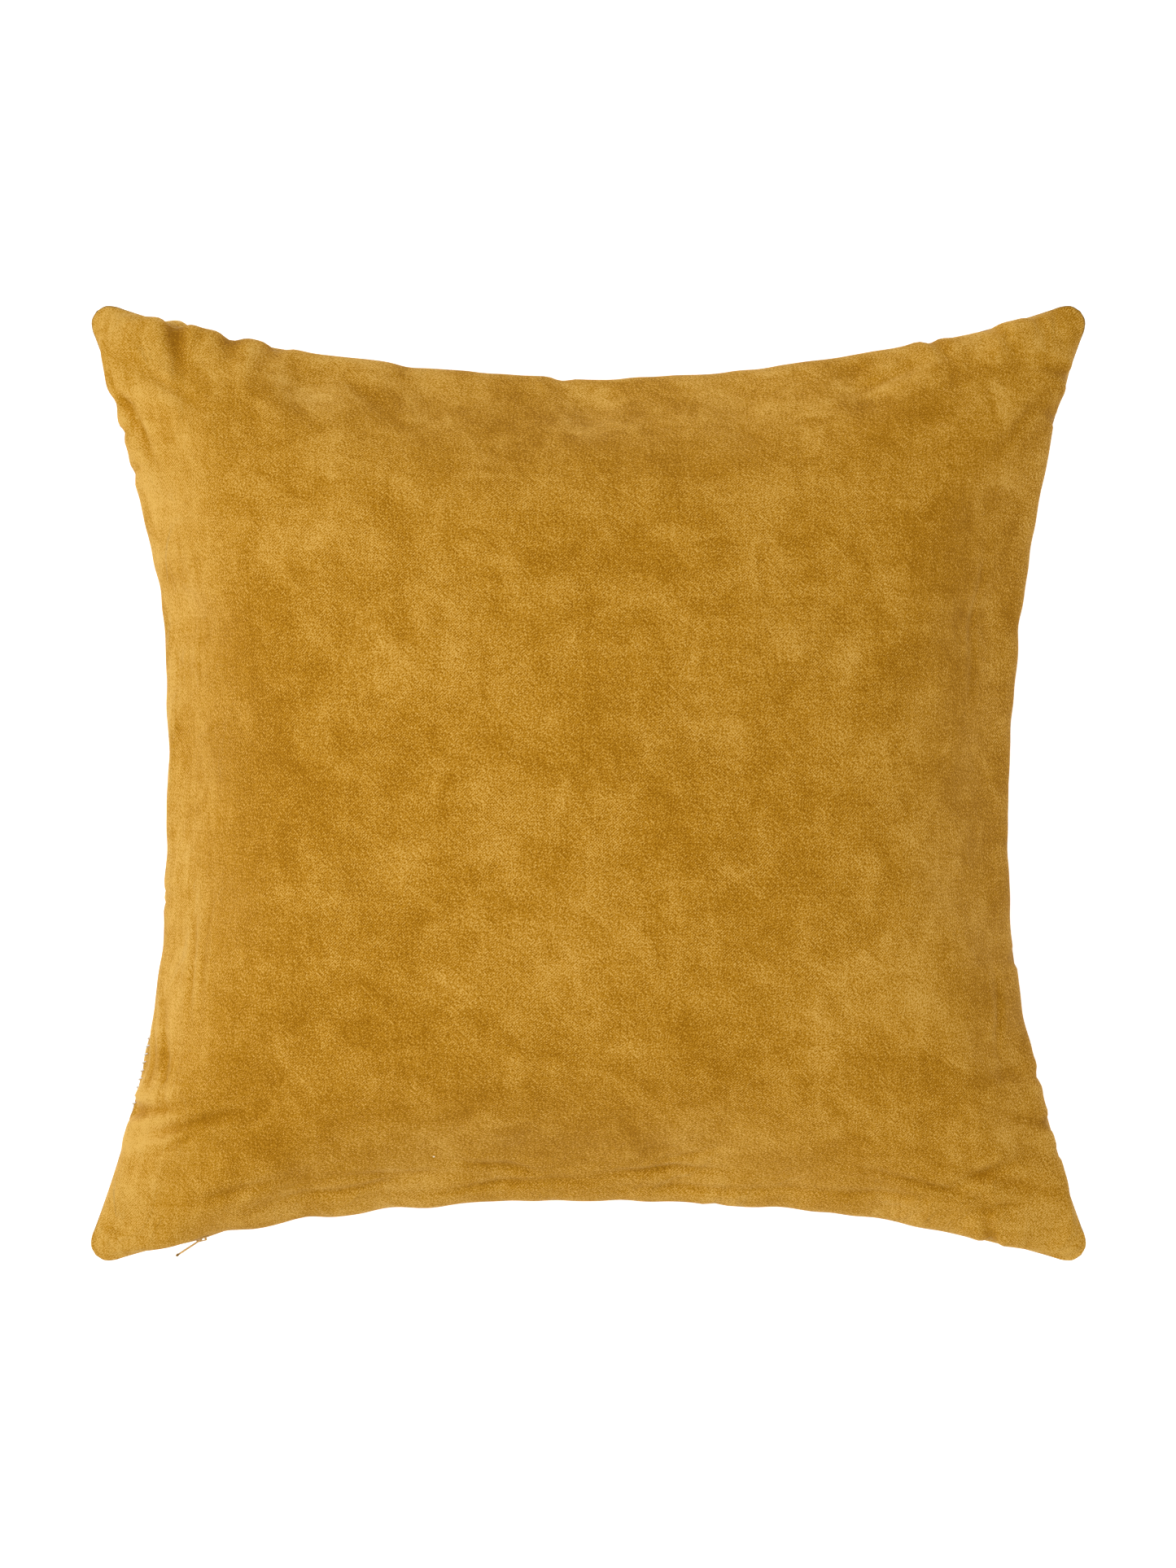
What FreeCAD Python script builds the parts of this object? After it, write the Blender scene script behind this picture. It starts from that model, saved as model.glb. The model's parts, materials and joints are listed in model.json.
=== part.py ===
"""Throw pillow: a zipped velvet cover over a filled insert, lying flat with its zip edge towards -Y.

Millimetres. +Z is up, the origin is on the floor under the middle of the pillow. The cover is two
square panels sewn edge to edge in the seam plane. Its four seams bow in between the corners, and
each seam is one arc, so the zip in the -Y seam runs on a true circle and its slider turns about the
centre of that circle.
"""
import FreeCAD
import Part
import math
import os

os.makedirs("parts", exist_ok=True)

# %% Driving dimensions: the outside of the cover
CORNER_X = 251.0          # middle of the pillow to a seam corner, before the tip is rounded
CORNER_Y = 240.5
ZIP_PULL = 40.0           # how far the zip seam bows in at its middle
TOP_PULL = 45.0
SIDE_PULL = 48.0
TIP_RADIUS = 9.0          # rounding of the four corner tips, in plan
SEAM_HEIGHT = 80.0        # the seam plane above the floor
CROWN_RISE = 96.0         # front panel: seam plane to the top of the crown
UNDER_DROP = 92.0         # back panel: the same below, before the floor flattens it

# %% Driving dimensions: cloth, seams and thread
VELVET = 1.2              # cover cloth, pile included
ALLOWANCE = 12.0          # seam allowance, from the seam to its raw edge
STITCH_PITCH = 5.0
STITCH_LENGTH = 4.2
STITCH_CLEAR = 0.8        # from the inner face of the cloth to the stitch line, with room for the label
STITCH_INSET = VELVET + STITCH_CLEAR
THREAD = 0.4
STITCH_KEEP = 24.0        # the seam stitches end this far from a corner
OVERLOCK_PITCH = 6.0
OVERLOCK_BITE = 3.0       # how far the overlock reaches in from the raw edge
LAYER_GAP = 0.3           # running clearance between curved layers
COIL_GAP = 0.5            # the same, behind the coils, where the tapes start to curve away

# %% Driving dimensions: the insert
INSERT_CLEAR = 2.1        # from the cover's overlocked edge to the insert's seam, in plan
INSERT_INSET = ALLOWANCE + THREAD + INSERT_CLEAR
INSERT_TIP_RADIUS = 8.0
TICKING = 0.4
CLOSING_LENGTH = 200.0    # the hand-width left open for filling, then stitched shut
CLOSING_FIN = 4.0
OVEREDGE_REACH = 1.5      # half the height of each stitch across the insert's seam

# %% Driving dimensions: the zip
ZIP_LENGTH = 400.0        # chord from stop to stop
MOUTH_LENGTH = 408.0
LIP_GAP = 1.6             # full height of the slot between the two lips
TURN_IN = 1.2             # second layer of velvet behind each lip
TURN_IN_WIDTH = 14.0
TURN_IN_OVERRUN = 8.0     # how far it runs on past each end of the mouth
TAPE = 0.5
TAPE_NEAR = 1.0           # tape edges, from the middle of the zip
TAPE_FAR = 13.0
TAPE_OVERRUN = 12.0       # how far the tapes run on past the stops
COIL_DEPTH = 1.9
COIL_NEAR = 0.6
COIL_FAR = 2.6
STOP_LENGTH = 3.0
TACKS = 5                 # stitches in each bar tack
TACK_START = 3.0          # from the stop to the first of them
TACK_PITCH = 1.0
SLIDER_REST = 190.5       # chord distance of the slider from the middle, closed
SLIDER_LENGTH = 10.0
SLIDER_PLATE = 1.0
SLIDER_WALL = 0.7         # side walls, beside the coils
SLIDER_CLEAR = 0.4
WEB_THICKNESS = 0.8
WEB_LENGTH = 5.0
SHIELD_LENGTH = 8.0
SHIELD_WIDTH = 4.0
SHIELD = 0.5
ARCH_LENGTH = 5.2
ARCH_WIDTH = 1.6
ARCH_WINDOW = 1.0
ARCH_WALL = 0.5
TAB_LENGTH = 15.0
TAB_WIDTH = 4.0
TAB_FLARE = 5.0
TAB_THICKNESS = 0.8
TAB_ARM = 3.4
TAB_PIN = 0.7
TAB_BEAD = 1.4            # the rolled bead across the tab's end
TAB_BEAD_LENGTH = 3.0
TAB_BEAD_INSET = 0.2
TAB_OFF_WALL = 19.4       # degrees between the resting tab and the seam

# %% Driving dimensions: the care label
LABEL_THICKNESS = 0.3
LABEL_WIDTH = 30.0
LABEL_DROP = 34.0
LABEL_Y = -60.0

# %% Sizes of the tools that cut and join the solids
GRID = 17                 # points across each dome, both ways
FAR = 400.0               # past everything
BAR_OUT = -3.0            # a cutting bar's reach outside the zip seam
BAR_IN = 30.0             # and inside it
JOIN = 0.2                # blocks that are joined run this far into each other


def point(x, y, z=0.0):
    return FreeCAD.Vector(x, y, z)


# %% The four seams as arcs
def arc_radius(half_chord, pull):
    return (half_chord ** 2 + pull ** 2) / (2 * pull)


class Seam:
    """One seam: the centre of its arc, its radius, and the direction of its middle from the centre."""

    def __init__(self, half_chord, other_half, pull, towards):
        self.radius = arc_radius(half_chord, pull)
        self.towards = towards
        reach = other_half - pull + self.radius
        self.centre = point(-reach * math.cos(towards), -reach * math.sin(towards))
        self.half_chord = half_chord

    def at(self, turn, inset=0.0, z=0.0):
        """A point inset from the seam, turned (radians) from the seam's middle."""
        angle = self.towards + turn
        reach = self.radius + inset
        return point(self.centre.x + reach * math.cos(angle), self.centre.y + reach * math.sin(angle), z)

    def turn(self, chord, inset=0.0):
        return math.asin(chord / (self.radius + inset))


ZIP = Seam(CORNER_X, CORNER_Y, ZIP_PULL, math.pi / 2)
TOP = Seam(CORNER_X, CORNER_Y, TOP_PULL, -math.pi / 2)
LEFT = Seam(CORNER_Y, CORNER_X, SIDE_PULL, 0.0)
RIGHT = Seam(CORNER_Y, CORNER_X, SIDE_PULL, math.pi)
PLAIN_SEAMS = (TOP, LEFT, RIGHT)


def corner(first, second, inset=0.0):
    """Where two inset seams cross, on the pillow's side of both centres."""
    r1 = first.radius + inset
    r2 = second.radius + inset
    gap = second.centre.sub(first.centre)
    span = gap.Length
    along = (r1 ** 2 - r2 ** 2 + span ** 2) / (2 * span)
    across = math.sqrt(r1 ** 2 - along ** 2)
    unit = gap.multiply(1 / span)
    foot = first.centre.add(point(unit.x * along, unit.y * along))
    side = point(-unit.y * across, unit.x * across)
    return min((foot.add(side), foot.sub(side)), key=lambda p: p.Length)


def along(seam, start, end, share, inset):
    """A point on an inset seam between two corners, at a share from -1 at the start to 1 at the end."""
    turns = []
    for p in (start, end):
        turn = math.atan2(p.y - seam.centre.y, p.x - seam.centre.x) - seam.towards
        turns.append(math.atan2(math.sin(turn), math.cos(turn)))
    return seam.at(turns[0] + (turns[1] - turns[0]) * (1 + share) / 2, inset)


def outline_corners(inset):
    """Left and right corner of the zip seam, then of the top seam."""
    return [corner(end, side, inset) for end in (ZIP, TOP) for side in (LEFT, RIGHT)]


def plan_point(inset, u, v):
    """A point of the inset outline's patch: u runs from left to right, v from the zip to the top."""
    zip_left, zip_right, top_left, top_right = outline_corners(inset)
    a = (1 + u) / 2
    b = (1 + v) / 2
    zip_side = along(ZIP, zip_left, zip_right, u, inset)
    top_side = along(TOP, top_left, top_right, u, inset)
    left_side = along(LEFT, zip_left, top_left, v, inset)
    right_side = along(RIGHT, zip_right, top_right, v, inset)
    across = zip_side * (1 - b) + top_side * b
    upward = left_side * (1 - a) + right_side * a
    corners = (zip_left * (1 - a) + zip_right * a) * (1 - b) + (top_left * (1 - a) + top_right * a) * b
    return across + upward - corners


def arc_bar(seam, near, far, low, high, start, end):
    """A bar that follows a seam between two insets, two heights and two turns."""
    middle = (start + end) / 2
    inner = Part.Arc(seam.at(start, near, low), seam.at(middle, near, low), seam.at(end, near, low))
    outer = Part.Arc(seam.at(end, far, low), seam.at(middle, far, low), seam.at(start, far, low))
    wire = Part.Wire([
        inner.toShape(),
        Part.makeLine(seam.at(end, near, low), seam.at(end, far, low)),
        outer.toShape(),
        Part.makeLine(seam.at(start, far, low), seam.at(start, near, low)),
    ])
    return Part.Face(wire).extrude(point(0, 0, high - low))


# %% Domed halves, nested one inside the other
def tip_cutter(first, second, radius, inset):
    """What is taken off a sharp corner to round it, with the same centre for every nested layer."""
    out = math.copysign(1, corner(first, second).x), math.copysign(1, corner(first, second).y)
    centre = corner(first, second, radius)
    reach = 3 * radius
    rays = []
    for seam in (first, second):
        ray = seam.centre.sub(centre)
        rays.append(ray.multiply(reach / ray.Length))
    apex = centre.add(point(out[0] * 3 * reach, out[1] * 3 * reach))
    outline = [centre, centre.add(rays[0]), apex, centre.add(rays[1]), centre]
    wedge = Part.Face(Part.makePolygon([p.add(point(0, 0, -FAR)) for p in outline]))
    wedge = wedge.extrude(point(0, 0, 2 * FAR))
    overlap = 0.02        # keeps the round from meeting the seams at a tangent
    disc = Part.makeCylinder(radius - inset + overlap, 2 * FAR, centre.add(point(0, 0, -FAR)))
    return wedge.cut(disc)


def rise_above(skin_inset, up):
    """Signed height of a dome's crown from the seam plane."""
    return CROWN_RISE - skin_inset if up else skin_inset - UNDER_DROP


def smooth_surface(grid):
    """One surface through a grid of points, evenly spaced both ways, so that equal edges match exactly."""
    shares = [i / (GRID - 1) for i in range(GRID)]

    def curve_through(points):
        curve = Part.BSplineCurve()
        curve.interpolate(Points=points, Parameters=shares)
        return curve
    rows = [curve_through(row).getPoles() for row in grid]
    columns = [curve_through(list(column)) for column in zip(*rows)]
    poles = [list(row) for row in zip(*[curve.getPoles() for curve in columns])]
    mults = columns[0].getMultiplicities()
    knots = columns[0].getKnots()
    surface = Part.BSplineSurface()
    surface.buildFromPolesMultsKnots(poles, mults, mults, knots, knots, False, False, 3, 3)
    return surface


def dome(plan_inset, skin_inset, up, tip_radius=TIP_RADIUS, tip_from=0.0):
    """A solid half pillow: the inset outline in the seam plane, crowned up or down from it.

    Its tips have tip_radius where the outline is inset by tip_from, and less where it is inset more.
    """
    shares = [math.sin(math.pi / 2 * (2 * i / (GRID - 1) - 1)) for i in range(GRID)]
    height = rise_above(skin_inset, up)
    grid = []
    for u in shares:
        row = []
        for v in shares:
            flat = plan_point(plan_inset, u, v)
            rise = height * math.sqrt(max(0.0, (1 - u * u) * (1 - v * v)))
            row.append(point(flat.x, flat.y, SEAM_HEIGHT + rise))
        grid.append(row)
    skin = smooth_surface(grid).toShape()
    base = Part.Face(Part.Wire(Part.sortEdges(skin.Edges)[0]))
    solid = Part.Solid(Part.Shell([skin, base]))
    if solid.Volume < 0:
        solid.reverse()
    if plan_inset - tip_from < tip_radius - 1:
        for side in (LEFT, RIGHT):
            for end in (ZIP, TOP):
                solid = solid.cut(tip_cutter(end, side, tip_radius + tip_from, plan_inset))
    if not up:
        above_floor = Part.makeBox(2 * FAR, 2 * FAR, FAR, point(-FAR, -FAR, skin_inset))
        solid = solid.common(above_floor)
    return solid.Solids[0]


def skin_layer(near, far, up):
    """The cloth-thin layer between two nested domes of the cover."""
    return dome(near, near, up).cut(dome(far, far, up))


def plan_prism(inset, low, high):
    """An upright block with the inset outline as its plan."""
    zip_left, zip_right, top_left, top_right = outline_corners(inset)
    runs = ((ZIP, zip_left, zip_right), (RIGHT, zip_right, top_right),
            (TOP, top_right, top_left), (LEFT, top_left, zip_left))
    edges = [Part.Arc(start, along(seam, start, end, 0.0, inset), end).toShape() for seam, start, end in runs]
    face = Part.Face(Part.Wire(edges))
    return face.extrude(point(0, 0, high - low)).translated(point(0, 0, low))


def above(height, up):
    """A height above the seam plane on the front, and as far below it on the back."""
    return SEAM_HEIGHT + (height if up else -height)


def zip_bar(near, far, low, high, start, end, up=True):
    """A bar along the zip; low and high count away from the seam plane."""
    bottom, top = sorted((above(low, up), above(high, up)))
    return arc_bar(ZIP, near, far, bottom, top, start, end)


# %% Cover: two panels with their allowances turned in, and the slot of the zip between the lips
MOUTH_TURN = ZIP.turn(MOUTH_LENGTH / 2)
TURN_IN_TURN = ZIP.turn(MOUTH_LENGTH / 2 + TURN_IN_OVERRUN)
ZIP_SIDE_GAP = 3.0        # the plain seams' allowances stop this far past the zip seam's own
ZIP_SIDE_REACH = ZIP.radius + ALLOWANCE + ZIP_SIDE_GAP


def cover_panel(up):
    skin = skin_layer(0, VELVET, up)
    bottom, top = sorted((above(0, up), above(VELVET, up)))
    slab = Part.makeBox(2 * FAR, 2 * FAR, top - bottom, point(-FAR, -FAR, bottom))
    allowance = dome(VELVET / 2, VELVET / 2, up).common(slab)
    allowance = allowance.cut(plan_prism(ALLOWANCE, bottom - 1, top + 1))
    zip_side = Part.makeCylinder(ZIP_SIDE_REACH, FAR, point(ZIP.centre.x, ZIP.centre.y, 0))
    allowance = allowance.cut(zip_side)
    turn_in = zip_bar(BAR_OUT, BAR_IN, 0, TURN_IN_WIDTH, -TURN_IN_TURN, TURN_IN_TURN, up)
    turn_in = dome(VELVET / 2, VELVET / 2, up).common(turn_in)
    turn_in = turn_in.cut(dome(VELVET + TURN_IN, VELVET + TURN_IN, up))
    panel = skin.fuse([allowance, turn_in])
    slot = zip_bar(BAR_OUT, ALLOWANCE, -LIP_GAP / 2, LIP_GAP / 2, -MOUTH_TURN, MOUTH_TURN)
    return panel.cut(slot)


# %% Threads: each stitch is a short bar on the cloth that it holds
def stitch_turns(seam, pitch):
    """Turns of the stitches on a seam, from tip to tip, clear of the zip's end of the side seams."""
    step = pitch / seam.radius
    last = int(seam.turn(seam.half_chord - STITCH_KEEP) / step)
    turns = []
    for i in range(-last, last + 1):
        place = seam.at(i * step, ALLOWANCE)
        if place.sub(ZIP.centre).Length > ZIP_SIDE_REACH + 2 * pitch:
            turns.append(i * step)
    return turns


def seam_stitches(up):
    """One thread of the lockstitch, lying on the allowance of its own panel."""
    low, high = sorted((above(VELVET, up), above(VELVET + THREAD, up)))
    far = STITCH_INSET + THREAD
    stitches = []
    for seam in PLAIN_SEAMS:
        half = STITCH_LENGTH / 2 / seam.radius
        for turn in stitch_turns(seam, STITCH_PITCH):
            stitches.append(arc_bar(seam, STITCH_INSET, far, low, high, turn - half, turn + half))
    return Part.makeCompound(stitches)


def overlock_stitches():
    """Loops of thread that wrap the raw edge of both allowances together."""
    low = SEAM_HEIGHT - VELVET
    high = SEAM_HEIGHT + VELVET
    loops = []
    for seam in PLAIN_SEAMS:
        half = THREAD / seam.radius
        for turn in stitch_turns(seam, OVERLOCK_PITCH):
            loop = arc_bar(seam, ALLOWANCE - OVERLOCK_BITE, ALLOWANCE + THREAD,
                           low - THREAD, high + THREAD, turn - half, turn + half)
            hollow = arc_bar(seam, ALLOWANCE - 2 * OVERLOCK_BITE, ALLOWANCE,
                             low, high, turn - 2 * half, turn + 2 * half)
            loops.append(loop.cut(hollow))
    return Part.makeCompound(loops)


# %% Zip: two tapes, two coil rows, stops, threads and bar tacks, all along the same arc
TAPE_INSET = VELVET + TURN_IN + LAYER_GAP
COIL_INSET = TAPE_INSET + TAPE + COIL_GAP
COIL_BACK = COIL_INSET + COIL_DEPTH
PLATE_INSET = COIL_BACK + SLIDER_CLEAR
TAPE_TURN = ZIP.turn(ZIP_LENGTH / 2 + TAPE_OVERRUN)
STOP_OUT = ZIP.turn(ZIP_LENGTH / 2)
STOP_IN = ZIP.turn(ZIP_LENGTH / 2 - STOP_LENGTH)
STOP_SPREAD = COIL_FAR + SLIDER_CLEAR


def zip_tape(up):
    strip = zip_bar(BAR_OUT, BAR_IN, TAPE_NEAR, TAPE_FAR, -TAPE_TURN, TAPE_TURN, up)
    strip = dome(TAPE_INSET, TAPE_INSET, up).common(strip)
    return strip.cut(dome(TAPE_INSET + TAPE, TAPE_INSET + TAPE, up))


def zip_coil(up):
    return zip_bar(COIL_INSET, COIL_BACK, COIL_NEAR, COIL_FAR, -STOP_IN, STOP_IN, up)


def zip_top_stop():
    """Two crimped clips, one on each tape, so that the coils can part."""
    clips = []
    for up in (True, False):
        clips.append(zip_bar(COIL_INSET, COIL_BACK, COIL_NEAR, STOP_SPREAD, STOP_IN, STOP_OUT, up))
    return Part.makeCompound(clips)


def zip_bottom_stop():
    """One crimped block across both tapes."""
    return zip_bar(COIL_INSET, COIL_BACK, -STOP_SPREAD, STOP_SPREAD, -STOP_OUT, -STOP_IN)


def tape_face(turn, height, up):
    """How far in from the zip seam a stitch on the inner face of a tape lies, at a turn and a height."""
    face = TAPE_INSET + TAPE + LAYER_GAP
    u = turn / ZIP.turn(ZIP.half_chord)
    crown = abs(rise_above(face, up)) * math.sqrt(1 - u * u)
    place = plan_point(face, u, -math.sqrt(1 - (height / crown) ** 2))
    return place.sub(ZIP.centre).Length - ZIP.radius


def zip_stitches(up):
    """The line of stitches that holds one tape to the turned-in velvet."""
    low = (TAPE_NEAR + TAPE_FAR) / 2
    step = STITCH_PITCH / ZIP.radius
    half = STITCH_LENGTH / 2 / ZIP.radius
    last = int((TAPE_TURN - step) / step)
    stitches = []
    for i in range(-last, last + 1):
        face = tape_face(abs(i * step) + half, low + THREAD, up)
        stitches.append(zip_bar(face, face + THREAD, low, low + THREAD, i * step - half, i * step + half, up))
    return Part.makeCompound(stitches)


def zip_bar_tacks():
    """A block of close stitches across both tapes beyond each end of the coils."""
    far = COIL_INSET + THREAD
    half = THREAD / 2 / ZIP.radius
    tacks = []
    for side in (-1, 1):
        for i in range(TACKS):
            middle = side * ZIP.turn(ZIP_LENGTH / 2 + TACK_START + i * TACK_PITCH)
            tacks.append(zip_bar(COIL_INSET, far, -COIL_FAR, COIL_FAR, middle - half, middle + half))
    return Part.makeCompound(tacks)


# %% Slider: a plate behind the coils, a thin web between them, a shield and an arch outside the lips
SLIDER_TURN = ZIP.turn(SLIDER_REST)
SHIELD_FACE = -SLIDER_CLEAR - SHIELD
PIVOT_INSET = SHIELD_FACE - ARCH_WINDOW / 2


def slider_bar(near, far, low, high, length):
    half = length / 2 / ZIP.radius
    return zip_bar(near, far, low, high, SLIDER_TURN - half, SLIDER_TURN + half)


def zip_slider_body():
    spread = STOP_SPREAD + SLIDER_WALL
    plate = slider_bar(PLATE_INSET, PLATE_INSET + SLIDER_PLATE, -spread, spread, SLIDER_LENGTH)
    pieces = []
    for side in (-1, 1):
        low, high = sorted((side * STOP_SPREAD, side * spread))
        pieces.append(slider_bar(COIL_INSET + COIL_GAP, PLATE_INSET + JOIN, low, high, SLIDER_LENGTH))
    half_web = WEB_THICKNESS / 2
    pieces.append(slider_bar(SHIELD_FACE + JOIN, PLATE_INSET + JOIN, -half_web, half_web, WEB_LENGTH))
    pieces.append(slider_bar(SHIELD_FACE, -SLIDER_CLEAR, -SHIELD_WIDTH / 2, SHIELD_WIDTH / 2, SHIELD_LENGTH))
    arch_top = SHIELD_FACE - ARCH_WINDOW - ARCH_WALL
    arch = slider_bar(arch_top, SHIELD_FACE + JOIN, -ARCH_WIDTH / 2, ARCH_WIDTH / 2, ARCH_LENGTH)
    window_length = ARCH_LENGTH - 4 * ARCH_WALL
    window = slider_bar(SHIELD_FACE - ARCH_WINDOW, SHIELD_FACE, -ARCH_WIDTH, ARCH_WIDTH, window_length)
    pieces.append(arch.cut(window))
    return plate.fuse(pieces).removeSplitter()


def zip_pull_tab():
    """A flat tab with two arms and a pin through the slider's arch, laid close to the seam."""
    outline = [(TAB_ARM, -TAB_WIDTH / 2), (TAB_LENGTH - TAB_FLARE / 2, -TAB_FLARE / 2)]
    half_width = TAB_THICKNESS / 2
    tip = Part.Arc(point(outline[1][0], -half_width, outline[1][1]),
                   point(TAB_LENGTH, -half_width, 0),
                   point(outline[1][0], -half_width, -outline[1][1]))
    start_low = point(outline[0][0], -half_width, outline[0][1])
    start_high = point(outline[0][0], -half_width, -outline[0][1])
    wire = Part.Wire([
        Part.makeLine(start_low, tip.StartPoint),
        tip.toShape(),
        Part.makeLine(tip.EndPoint, start_high),
        Part.makeLine(start_high, start_low),
    ])
    plate = Part.Face(wire).extrude(point(0, TAB_THICKNESS, 0))
    arm_gap = ARCH_WIDTH / 2 + SLIDER_CLEAR
    pin = Part.makeCylinder(TAB_PIN / 2, TAB_WIDTH, point(0, 0, -TAB_WIDTH / 2))
    pieces = [pin]
    for side in (-1, 1):
        low = min(side * arm_gap, side * TAB_WIDTH / 2)
        width = TAB_WIDTH / 2 - arm_gap
        arm = Part.makeBox(TAB_ARM + JOIN, TAB_PIN, width, point(0, -TAB_PIN / 2, low))
        eye = Part.makeCylinder(TAB_PIN / 2, width, point(0, 0, low))
        pieces += [arm, eye]
    bead_at = TAB_LENGTH - TAB_BEAD / 2 - TAB_BEAD_INSET
    bead = Part.makeCylinder(TAB_BEAD / 2, TAB_BEAD_LENGTH, point(bead_at, 0, -TAB_BEAD_LENGTH / 2))
    pieces.append(bead)
    tab = plate.fuse(pieces).removeSplitter()
    heading = 180 + math.degrees(SLIDER_TURN) + TAB_OFF_WALL
    tab.rotate(point(0, 0), point(0, 0, 1), heading)
    tab.translate(ZIP.at(SLIDER_TURN, PIVOT_INSET, SEAM_HEIGHT))
    return tab


# %% Insert: two ticking panels round the filling, with the stitched closing fin on the zip side
INSERT_SKIN = VELVET + LAYER_GAP
CLOSING_TURN = ZIP.turn(CLOSING_LENGTH / 2)


def insert_dome(extra, up):
    return dome(INSERT_INSET + extra, INSERT_SKIN + extra, up, INSERT_TIP_RADIUS, INSERT_INSET)


def insert_panel(up):
    skin = insert_dome(0, up).cut(insert_dome(TICKING, up))
    near = INSERT_INSET - CLOSING_FIN
    fin = zip_bar(near, INSERT_INSET + TICKING / 2, 0, TICKING, -CLOSING_TURN, CLOSING_TURN, up)
    return skin.fuse(fin)


def insert_filling():
    front, back = [insert_dome(TICKING + LAYER_GAP, up) for up in (True, False)]
    return front.fuse(back).removeSplitter()


def insert_seam_stitches():
    """Overedge stitches that stand across the insert's seam, all round but for the closing fin."""
    near = INSERT_INSET - LAYER_GAP / 2 - THREAD
    low = SEAM_HEIGHT - OVEREDGE_REACH
    high = SEAM_HEIGHT + OVEREDGE_REACH
    stitches = []
    for seam in (ZIP, TOP, LEFT, RIGHT):
        half = THREAD / 2 / seam.radius
        step = OVERLOCK_PITCH / seam.radius
        last = int(seam.turn(seam.half_chord - INSERT_INSET - STITCH_KEEP) / step)
        for i in range(-last, last + 1):
            if seam is ZIP and abs(i * step) < CLOSING_TURN + step:
                continue
            stitches.append(arc_bar(seam, near, near + THREAD, low, high, i * step - half, i * step + half))
    return Part.makeCompound(stitches)


def insert_closing_stitches():
    """The straight stitch along the fin, a row on each side of it."""
    near = INSERT_INSET - CLOSING_FIN / 2 - THREAD / 2
    far = near + THREAD
    step = STITCH_PITCH / ZIP.radius
    half = STITCH_LENGTH / 2 / ZIP.radius
    last = int((CLOSING_TURN - step) / step)
    rows = []
    for up in (True, False):
        for i in range(-last, last + 1):
            rows.append(zip_bar(near, far, TICKING, TICKING + THREAD, i * step - half, i * step + half, up))
    return Part.makeCompound(rows)


# %% Care label: a blank ribbon in the left seam, hanging down inside the back panel
def care_label():
    face = VELVET + LAYER_GAP
    top = SEAM_HEIGHT - VELVET - LAYER_GAP
    low_corner = point(-FAR, LABEL_Y - LABEL_WIDTH / 2, top - LABEL_DROP)
    window = Part.makeBox(FAR, LABEL_WIDTH, LABEL_DROP, low_corner)
    label = dome(face, face, False).common(window)
    return label.cut(dome(face + LABEL_THICKNESS, face + LABEL_THICKNESS, False))


# %% Write one file for each piece
NODES = {
    "cover_front_panel": cover_panel(True),
    "cover_back_panel": cover_panel(False),
    "cover_needle_thread": seam_stitches(True),
    "cover_bobbin_thread": seam_stitches(False),
    "cover_overlock_thread": overlock_stitches(),
    "zip_tape_front": zip_tape(True),
    "zip_tape_back": zip_tape(False),
    "zip_coil_front": zip_coil(True),
    "zip_coil_back": zip_coil(False),
    "zip_top_stop": zip_top_stop(),
    "zip_bottom_stop": zip_bottom_stop(),
    "zip_thread_front": zip_stitches(True),
    "zip_thread_back": zip_stitches(False),
    "zip_bar_tacks": zip_bar_tacks(),
    "zip_slider_body": zip_slider_body(),
    "zip_pull_tab": zip_pull_tab(),
    "insert_front_panel": insert_panel(True),
    "insert_back_panel": insert_panel(False),
    "insert_filling": insert_filling(),
    "insert_seam_thread": insert_seam_stitches(),
    "insert_closing_stitches": insert_closing_stitches(),
    "care_label": care_label(),
}

for name, shape in NODES.items():
    shape.exportStep(f"parts/{name}.step")
    box = shape.optimalBoundingBox()
    low = (round(box.XMin, 2), round(box.YMin, 2), round(box.ZMin, 2))
    high = (round(box.XMax, 2), round(box.YMax, 2), round(box.ZMax, 2))
    print(f"{name:26s} {len(shape.Solids):4d} solids {shape.Volume / 1000:10.3f} cm3  {low} {high}")

pivot = ZIP.at(SLIDER_TURN, PIVOT_INSET, SEAM_HEIGHT)
print(f"zip arc centre {ZIP.centre.x:.3f} {ZIP.centre.y:.3f}, radius {ZIP.radius:.3f}")
print(f"slider travel {2 * math.degrees(SLIDER_TURN):.3f} degrees")
print(f"tab pivot {pivot.x:.3f} {pivot.y:.3f} {pivot.z:.3f}")
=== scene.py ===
# %% [markdown]
# # A velvet throw pillow
#
# The pillow is a zipped cover over a filled insert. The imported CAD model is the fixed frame: it says
# where each seam, stitch and zip piece lies. Blender makes what the CAD leaves plain: cloth that has
# been filled, pulled in at its seams and creased, and the pile, thread and metal that it is made of.

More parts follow.
